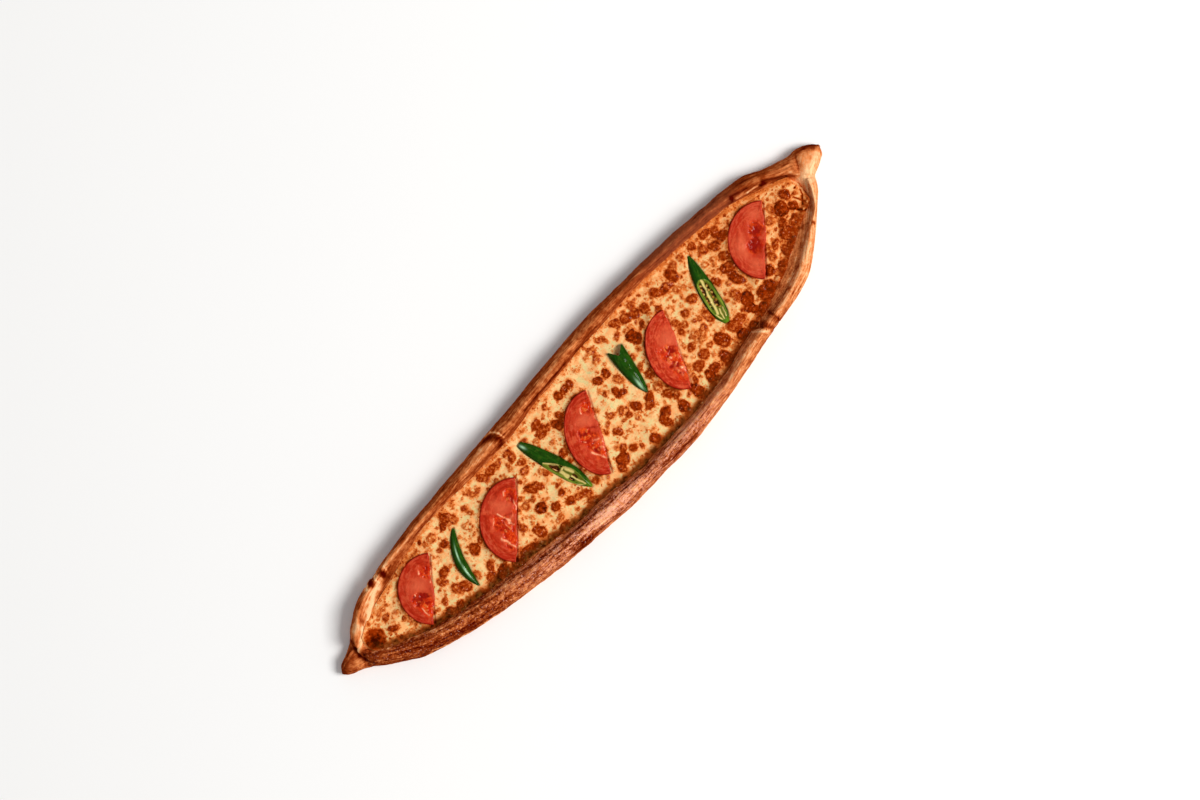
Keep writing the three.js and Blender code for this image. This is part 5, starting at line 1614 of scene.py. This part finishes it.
def build_tomato(slice_, material, random):
    table = tomato_table(slice_)
    mesh, where = closed_tube(table)
    x, y, z = table[where].T
    top = ease(z, TOMATO_THICKNESS - 0.9, TOMATO_THICKNESS - 0.1)
    from_skin, gel, seeds, pale = tomato_marks(x, y, slice_, random)
    spot = joined(x, y, slice_["turn"])
    wrinkle = uneven(spot, (0.3, 9, 3), (0.2, 3.2, 1), (0.1, 1.4, 2))
    pooled = -0.35 * gel + gel * uneven(spot, (0.4, 3.0, 8), (0.24, 1.4, 5))
    ridge = 0.3 * hill((from_skin - 6.5) / 2.2) * (1 - gel)
    up = z + top * (wrinkle + pooled + 0.25 * seeds + 0.3 * pale + ridge - 0.35)
    wall = ease(TOMATO_THICKNESS - up, 0.5, 1.0)
    arc_side = ease(y, 0.2, 1.5)
    angle = np.arctan2(y, x)
    store(
        mesh, gel=gel * top, seed=seeds * top, pale=pale * top,
        skin=np.maximum(wall * arc_side, (1 - ease(from_skin, 0.2, 0.9)) * arc_side),
        depth=np.clip(from_skin / FLESH_DEPTH, 0, 1),
        flow=joined(angle * 4, from_skin / 1.5, slice_["turn"]),
        ray=joined(angle * 15, from_skin / 7, slice_["turn"]),
        ripe=slice_["ripe"] * (1 - gel),
    )
    along, across = turned(x, y, -math.radians(slice_["turn"]))
    shape_mesh(mesh, joined(slice_["x"] + along, slice_["y"] + across, TOMATO_SEAT + up))
    return add_piece(f"{slice_['name']}_slice", mesh, material, slice_["name"])


class PIDE_OT_tomatoes(bpy.types.Operator):
    """Builds the five half slices of tomato, with their skins, seed pockets and seeds"""

    bl_idname = "pide.tomatoes"
    bl_label = "Tomato slices"

    def execute(self, context):
        material = tomato_material(context.scene.pide_tomato)
        random = np.random.default_rng(TOMATO_SEED)
        for slice_ in TOMATOES:
            build_tomato(slice_, material, random)
        return {"FINISHED"}


# ---- Green pepper


def pepper_line(pepper, share):
    """The pepper's middle line at shares of its length, with the directions along and across."""
    start, end, length, ahead, left = pepper_axis(pepper)
    middle = start + share[:, None] * (end - start) + pepper_bend(pepper, share)[:, None] * left
    slope = -4 * pepper["bow"] * (2 * share - 1) / length
    across = left - slope[:, None] * ahead
    across /= np.linalg.norm(across, axis=1, keepdims=True)
    return middle, joined(across[:, 1], -across[:, 0]), across


def pepper_shares():
    """Shares of the length for the rings, and how full each is: the ends round off."""
    grow = np.sin(np.linspace(0, math.pi / 2, PEPPER_CAP + 1))[:-1]
    body = np.linspace(0, 1, PEPPER_RINGS + 1 - 2 * PEPPER_CAP)
    shares = np.concatenate([np.zeros(PEPPER_CAP), body, np.ones(PEPPER_CAP)])
    return shares, np.concatenate([grow, np.ones(len(body)), grow[::-1]])


def pepper_marks(pepper, share, side, level, half_width, arch, top, random):
    """Cuts a pepper open: new heights, and where flesh, hollow, pith and seeds show."""
    zeros = np.zeros(share.shape)
    if "cut" not in pepper:
        return arch, zeros, zeros, zeros, zeros, zeros
    cut = pepper["cut"]
    past = share - (cut["from"] + cut["slant"] * (side + half_width))
    plane = pepper["height"] * (0.98 - 0.36 * ease(past, 0, 0.16)) + cut["lean"] * side
    opened = ease(arch - plane, -0.05, 0.15) * top * ease(past, 0, 0.01)
    half_open = half_width * np.sqrt(np.clip(1 - (plane / np.maximum(level, 0.1)) ** 2, 0, 1))
    mm = share * PEPPER_STRETCH
    spot = joined(mm, side, pepper["bow"])
    from_wall = half_open - np.abs(side) + 0.3 * noise_at(spot, 2.5, 1)
    inner = opened * ease(from_wall, PEPPER_WALL - 0.3, PEPPER_WALL + 0.3)
    swayed = side + 0.5 * noise_at(spot, 3, 3)
    hollow, pith, seeds = zeros, zeros, zeros
    for at, *ellipse in cut["dark"]:
        distance = from_ellipse(mm, swayed, at * PEPPER_STRETCH, *ellipse)
        hollow = np.maximum(hollow, 1 - ease(distance, 0.7, 1.15))
    for first, off, last, last_off, width in cut["pith"]:
        line = (first * PEPPER_STRETCH, off, last * PEPPER_STRETCH, last_off)
        pith = np.maximum(pith, 1 - ease(line_distance(mm, swayed, *line) / width, 0.6, 1.4))
    for at, off in cut["seeds"]:
        lean = math.degrees(random.uniform(0, math.pi))
        distance = from_ellipse(mm, side, at * PEPPER_STRETCH, off, *PEPPER_SEED_HALVES, lean)
        seeds = np.maximum(seeds, 1 - ease(distance, 0.7, 1.15))
    hollow, pith, seeds = hollow * inner, pith * opened, seeds * inner
    height = np.minimum(arch, plane) - 0.5 * inner - 2.0 * hollow + 0.9 * pith * hollow + 1.3 * seeds
    up = np.where(opened > 0, lerp(arch, height, opened), arch)
    return up, opened, inner, hollow * (1 - pith), pith, seeds


def notch_push(pepper, share, side):
    """How far a notch in the pepper's thick end pushes each point along it."""
    if "notch" not in pepper:
        return 0 * side
    notch = pepper["notch"]
    bay = np.clip(1 - np.abs(side) / (0.42 * pepper["width"][0][1]), 0, 1)
    return notch["reach"] * bay * np.clip(1 - share / notch["run"], 0, 1)


# Tints of the skin, of the cut flesh and of what lies in it. The pale mint tint is a painted
# highlight on the skin, and the hollows' dark tint also paints the shade on a notched end.
LIGHT_SKIN, OLIVE_SKIN, TIP_SKIN, PAINTED_HIGHLIGHT_TINT = (
    srgb(30, 76, 8), srgb(66, 92, 20), srgb(96, 134, 26), srgb(170, 214, 170)
)
LIGHT_CUT, LINING = srgb(128, 142, 46), (srgb(62, 74, 6), srgb(124, 124, 36))
HOLLOW_AND_SHADE, DEEP_PITH, BROWN_SEED = (
    (srgb(44, 10, 2), srgb(112, 56, 22)), srgb(206, 184, 98), srgb(176, 110, 40)
)


def pepper_material(settings):
    finish = Finish("green_pepper")
    fit, mix, plus, times, value = finish.words()
    place, flesh = finish.place(), value("flesh")
    mottle = finish.noise(place, 300, 4, 0.6)
    fine = finish.noise(place, 900, 3, 0.65)
    streak = finish.noise(finish.vector("flow"), 1.0, 3, 0.6)
    skin = mix(fit(streak, 0.35, 0.65), settings.skin, LIGHT_SKIN)
    skin = finish.tint(skin, mottle, 0.5, 0.7, 0.6, OLIVE_SKIN)
    skin = mix(times(value("tip"), 0.8), skin, TIP_SKIN)
    # painted highlight on the skin
    skin = mix(value("bloom"), skin, PAINTED_HIGHLIGHT_TINT)
    cut = mix(fit(streak, 0.35, 0.65), settings.flesh, LIGHT_CUT)
    cut = mix(value("lining"), cut, mix(mottle, *LINING))
    colour = mix(flesh, skin, cut)
    # the hollows' dark tint, which on a notched end is painted shade
    hollow = mix(fit(fine, 0.4, 0.6), *HOLLOW_AND_SHADE)
    colour = mix(value("hollow"), colour, hollow)
    pith = mix(mottle, settings.pith, DEEP_PITH)
    colour = mix(value("pith"), colour, pith)
    seed = mix(fit(mottle, 0.4, 0.6), settings.seed, BROWN_SEED)
    colour = mix(value("seed"), colour, seed)
    return finish.done(
        Base_Color=finish.grain(colour, fine, 0.85, 1.15),
        Roughness=mix(flesh, (0.16, 0.16, 0.16), (0.38, 0.38, 0.38)),
        Normal=finish.bump(plus(mottle, streak), 0.2, 0.0004),
        Coat_Weight=0.14, Coat_Roughness=0.06, Specular_IOR_Level=0.0,
    )


def build_pepper(pepper, material, random):
    shares, fullness = pepper_shares()
    angle = np.linspace(-PEPPER_FOOT, math.pi + PEPPER_FOOT, PEPPER_AROUND - PEPPER_UNDER)
    width = profile(pepper["width"])(shares)[:, None]
    level = pepper["height"] * (0.25 + 0.75 * width / max(pair[1] for pair in pepper["width"]))
    drop = math.sin(PEPPER_FOOT)
    side = -width / 2 * np.cos(angle)
    arch = level * (np.sin(angle) + drop) / (1 + drop)
    back = np.arange(1, PEPPER_UNDER + 1) / (PEPPER_UNDER + 1)
    side = np.concatenate([side, lerp(side[:, -1:], side[:, :1], back)], axis=1)
    arch = np.concatenate([arch, np.zeros((len(shares), PEPPER_UNDER))], axis=1)
    top = np.concatenate([ease(np.sin(angle), 0.0, 0.2), np.zeros(PEPPER_UNDER)])
    share = np.broadcast_to(shares[:, None], side.shape)
    marks = pepper_marks(pepper, share, side, level, width / 2, arch, top, random)
    up, flesh, lining, hollow, pith, seeds = marks
    spot = joined(share * 50, side, up)
    up = up + 0.22 * noise_at(spot, 7, pepper["bow"]) * top
    up = up + 0.1 * noise_at(spot * (0.3, 1, 1), 1.6, 2) * top
    # the ends round off towards the middle of their sections
    side = side * fullness[:, None]
    up = lerp(0.45 * level, up, fullness[:, None])
    middle, forward, across = pepper_line(pepper, shares)
    push = notch_push(pepper, share, side)
    flat = middle[:, None] + across[:, None] * side[..., None] + forward[:, None] * push[..., None]
    table = joined(*np.moveaxis(flat, 2, 0), PEPPER_SEAT + np.maximum(up, 0))
    table[0], table[-1] = table[0].mean(axis=0), table[-1].mean(axis=0)
    mesh, where = closed_tube(table)
    shape_mesh(mesh, table[where])
    # painted highlights: pale spots of colour on the skin
    bloom = 0 * side
    for at, *ellipse in pepper.get("bloom", []):
        distance = from_ellipse(share * PEPPER_STRETCH, side, at * PEPPER_STRETCH, *ellipse)
        bloom = np.maximum(bloom, hill(distance) * top)
    store(
        mesh, where, flesh=flesh, lining=lining, pith=pith, seed=seeds, bloom=bloom,
        # a notched piece's end wall is given the hollows' dark tint: painted shade
        hollow=np.where((share <= 0) & ("notch" in pepper), 0.85, hollow),
        tip=ease(share, 0.86, 1.0) * ("cut" in pepper),
        flow=joined(share * 5, side / 1.4, 0),
    )
    return add_piece(f"{pepper['name']}_piece", mesh, material, pepper["name"])


class PIDE_OT_peppers(bpy.types.Operator):
    """Builds the four pieces of green pepper, two of them cut open"""

    bl_idname = "pide.peppers"
    bl_label = "Pepper pieces"

    def execute(self, context):
        material = pepper_material(context.scene.pide_pepper)
        random = np.random.default_rng(PEPPER_SEED)
        for pepper in PEPPERS:
            build_pepper(pepper, material, random)
        return {"FINISHED"}


# ---- Stage

CAMERA_TURN = math.radians(-48.01)  # the boat lies slantwise in the camera's view
CAMERA_OVER = (13.86, 11.26)  # what the camera looks straight down on
LOOK_LEVEL = 12.0  # height at which the frame is FRAME_WIDTH wide
FRAME_WIDTH = 839.2
SENSOR = 36.0
KEY_HEADING = (0.669, -0.743)
KEY_ELEVATION = math.radians(52)
KEY_DISTANCE = 4.0
KEY_COLOUR = (1.0, 0.985, 0.96)
FLOOR_SIDE = 14.0
FLOOR_MOTTLE = 0.985  # its darker patches, as a share of its brightness


def build_floor(settings):
    bm = bmesh.new()
    bmesh.ops.create_grid(bm, x_segments=8, y_segments=8, size=FLOOR_SIDE / 2)
    mesh = mesh_from(bm, "floor")
    finish = Finish("pale_floor")
    grain = finish.noise(finish.place(), 3.0, 3)
    tone = tuple(settings.floor)
    colour = finish.mix(grain, tone, tuple(channel * FLOOR_MOTTLE for channel in tone))
    mesh.materials.append(finish.done(Base_Color=colour, Roughness=0.85))
    floor = show("floor", mesh)


def build_lights(settings):
    world = bpy.data.worlds.new("even_light")
    world.use_nodes = True
    background = world.node_tree.nodes["Background"]
    background.inputs["Color"].default_value = (1, 1, 1, 1)
    background.inputs["Strength"].default_value = settings.sky
    bpy.context.scene.world = world
    lamp = bpy.data.lights.new("key", "AREA")
    lamp.shape = "SQUARE"
    lamp.size = settings.key_size
    lamp.energy = settings.key_power
    lamp.color = KEY_COLOUR
    key = show("key", lamp)
    flat = math.cos(KEY_ELEVATION)
    heading = Vector((KEY_HEADING[0] * flat, KEY_HEADING[1] * flat, math.sin(KEY_ELEVATION)))
    key.location = heading * KEY_DISTANCE
    key.rotation_mode = "QUATERNION"
    key.rotation_quaternion = (-heading).to_track_quat("-Z", "Y")


def build_camera(settings):
    camera = bpy.data.cameras.new("camera")
    camera.sensor_width = SENSOR
    camera.lens = SENSOR * (settings.camera_height / MM) / FRAME_WIDTH
    seat = show("camera", camera)
    seat.location = (*(place * MM for place in CAMERA_OVER), settings.camera_height + LOOK_LEVEL * MM)
    seat.rotation_euler = (0, 0, CAMERA_TURN)
    bpy.context.scene.camera = seat


class PIDE_OT_stage(bpy.types.Operator):
    """Builds the pale floor, the lights and the camera that looks straight down"""

    bl_idname = "pide.stage"
    bl_label = "Stage"

    def execute(self, context):
        settings = context.scene.pide_stage
        build_floor(settings)
        build_lights(settings)
        build_camera(settings)
        context.scene.view_settings.view_transform = "Standard"
        return {"FINISHED"}


# ---- Add-on

OPERATORS = (PIDE_OT_stage, PIDE_OT_crust, PIDE_OT_cheese, PIDE_OT_tomatoes, PIDE_OT_peppers)
SETTINGS = {
    "pide_stage": PideStageSettings,
    "pide_crust": PideCrustSettings,
    "pide_cheese": PideCheeseSettings,
    "pide_tomato": PideTomatoSettings,
    "pide_pepper": PidePepperSettings,
}


class VIEW3D_PT_pide(bpy.types.Panel):
    """Lists the pide's pieces with their settings"""

    bl_label = "Turkish pide"
    bl_space_type = "VIEW_3D"
    bl_region_type = "UI"
    bl_category = "Pide"

    def draw(self, context):
        for operator, group in zip(OPERATORS, SETTINGS):
            box = self.layout.box()
            box.operator(operator.bl_idname)
            settings = getattr(context.scene, group)
            for name in settings.__annotations__:
                box.prop(settings, name)


def register():
    for group in (*SETTINGS.values(), *OPERATORS, VIEW3D_PT_pide):
        bpy.utils.register_class(group)
    for name, group in SETTINGS.items():
        setattr(bpy.types.Scene, name, PointerProperty(type=group))


def unregister():
    for name in SETTINGS:
        delattr(bpy.types.Scene, name)
    for group in reversed((*SETTINGS.values(), *OPERATORS, VIEW3D_PT_pide)):
        bpy.utils.unregister_class(group)


def main():
    register()
    bpy.ops.pide.stage()
    bpy.ops.pide.crust()
    bpy.ops.pide.cheese()
    bpy.ops.pide.tomatoes()
    bpy.ops.pide.peppers()


if __name__ == "__main__":
    main()
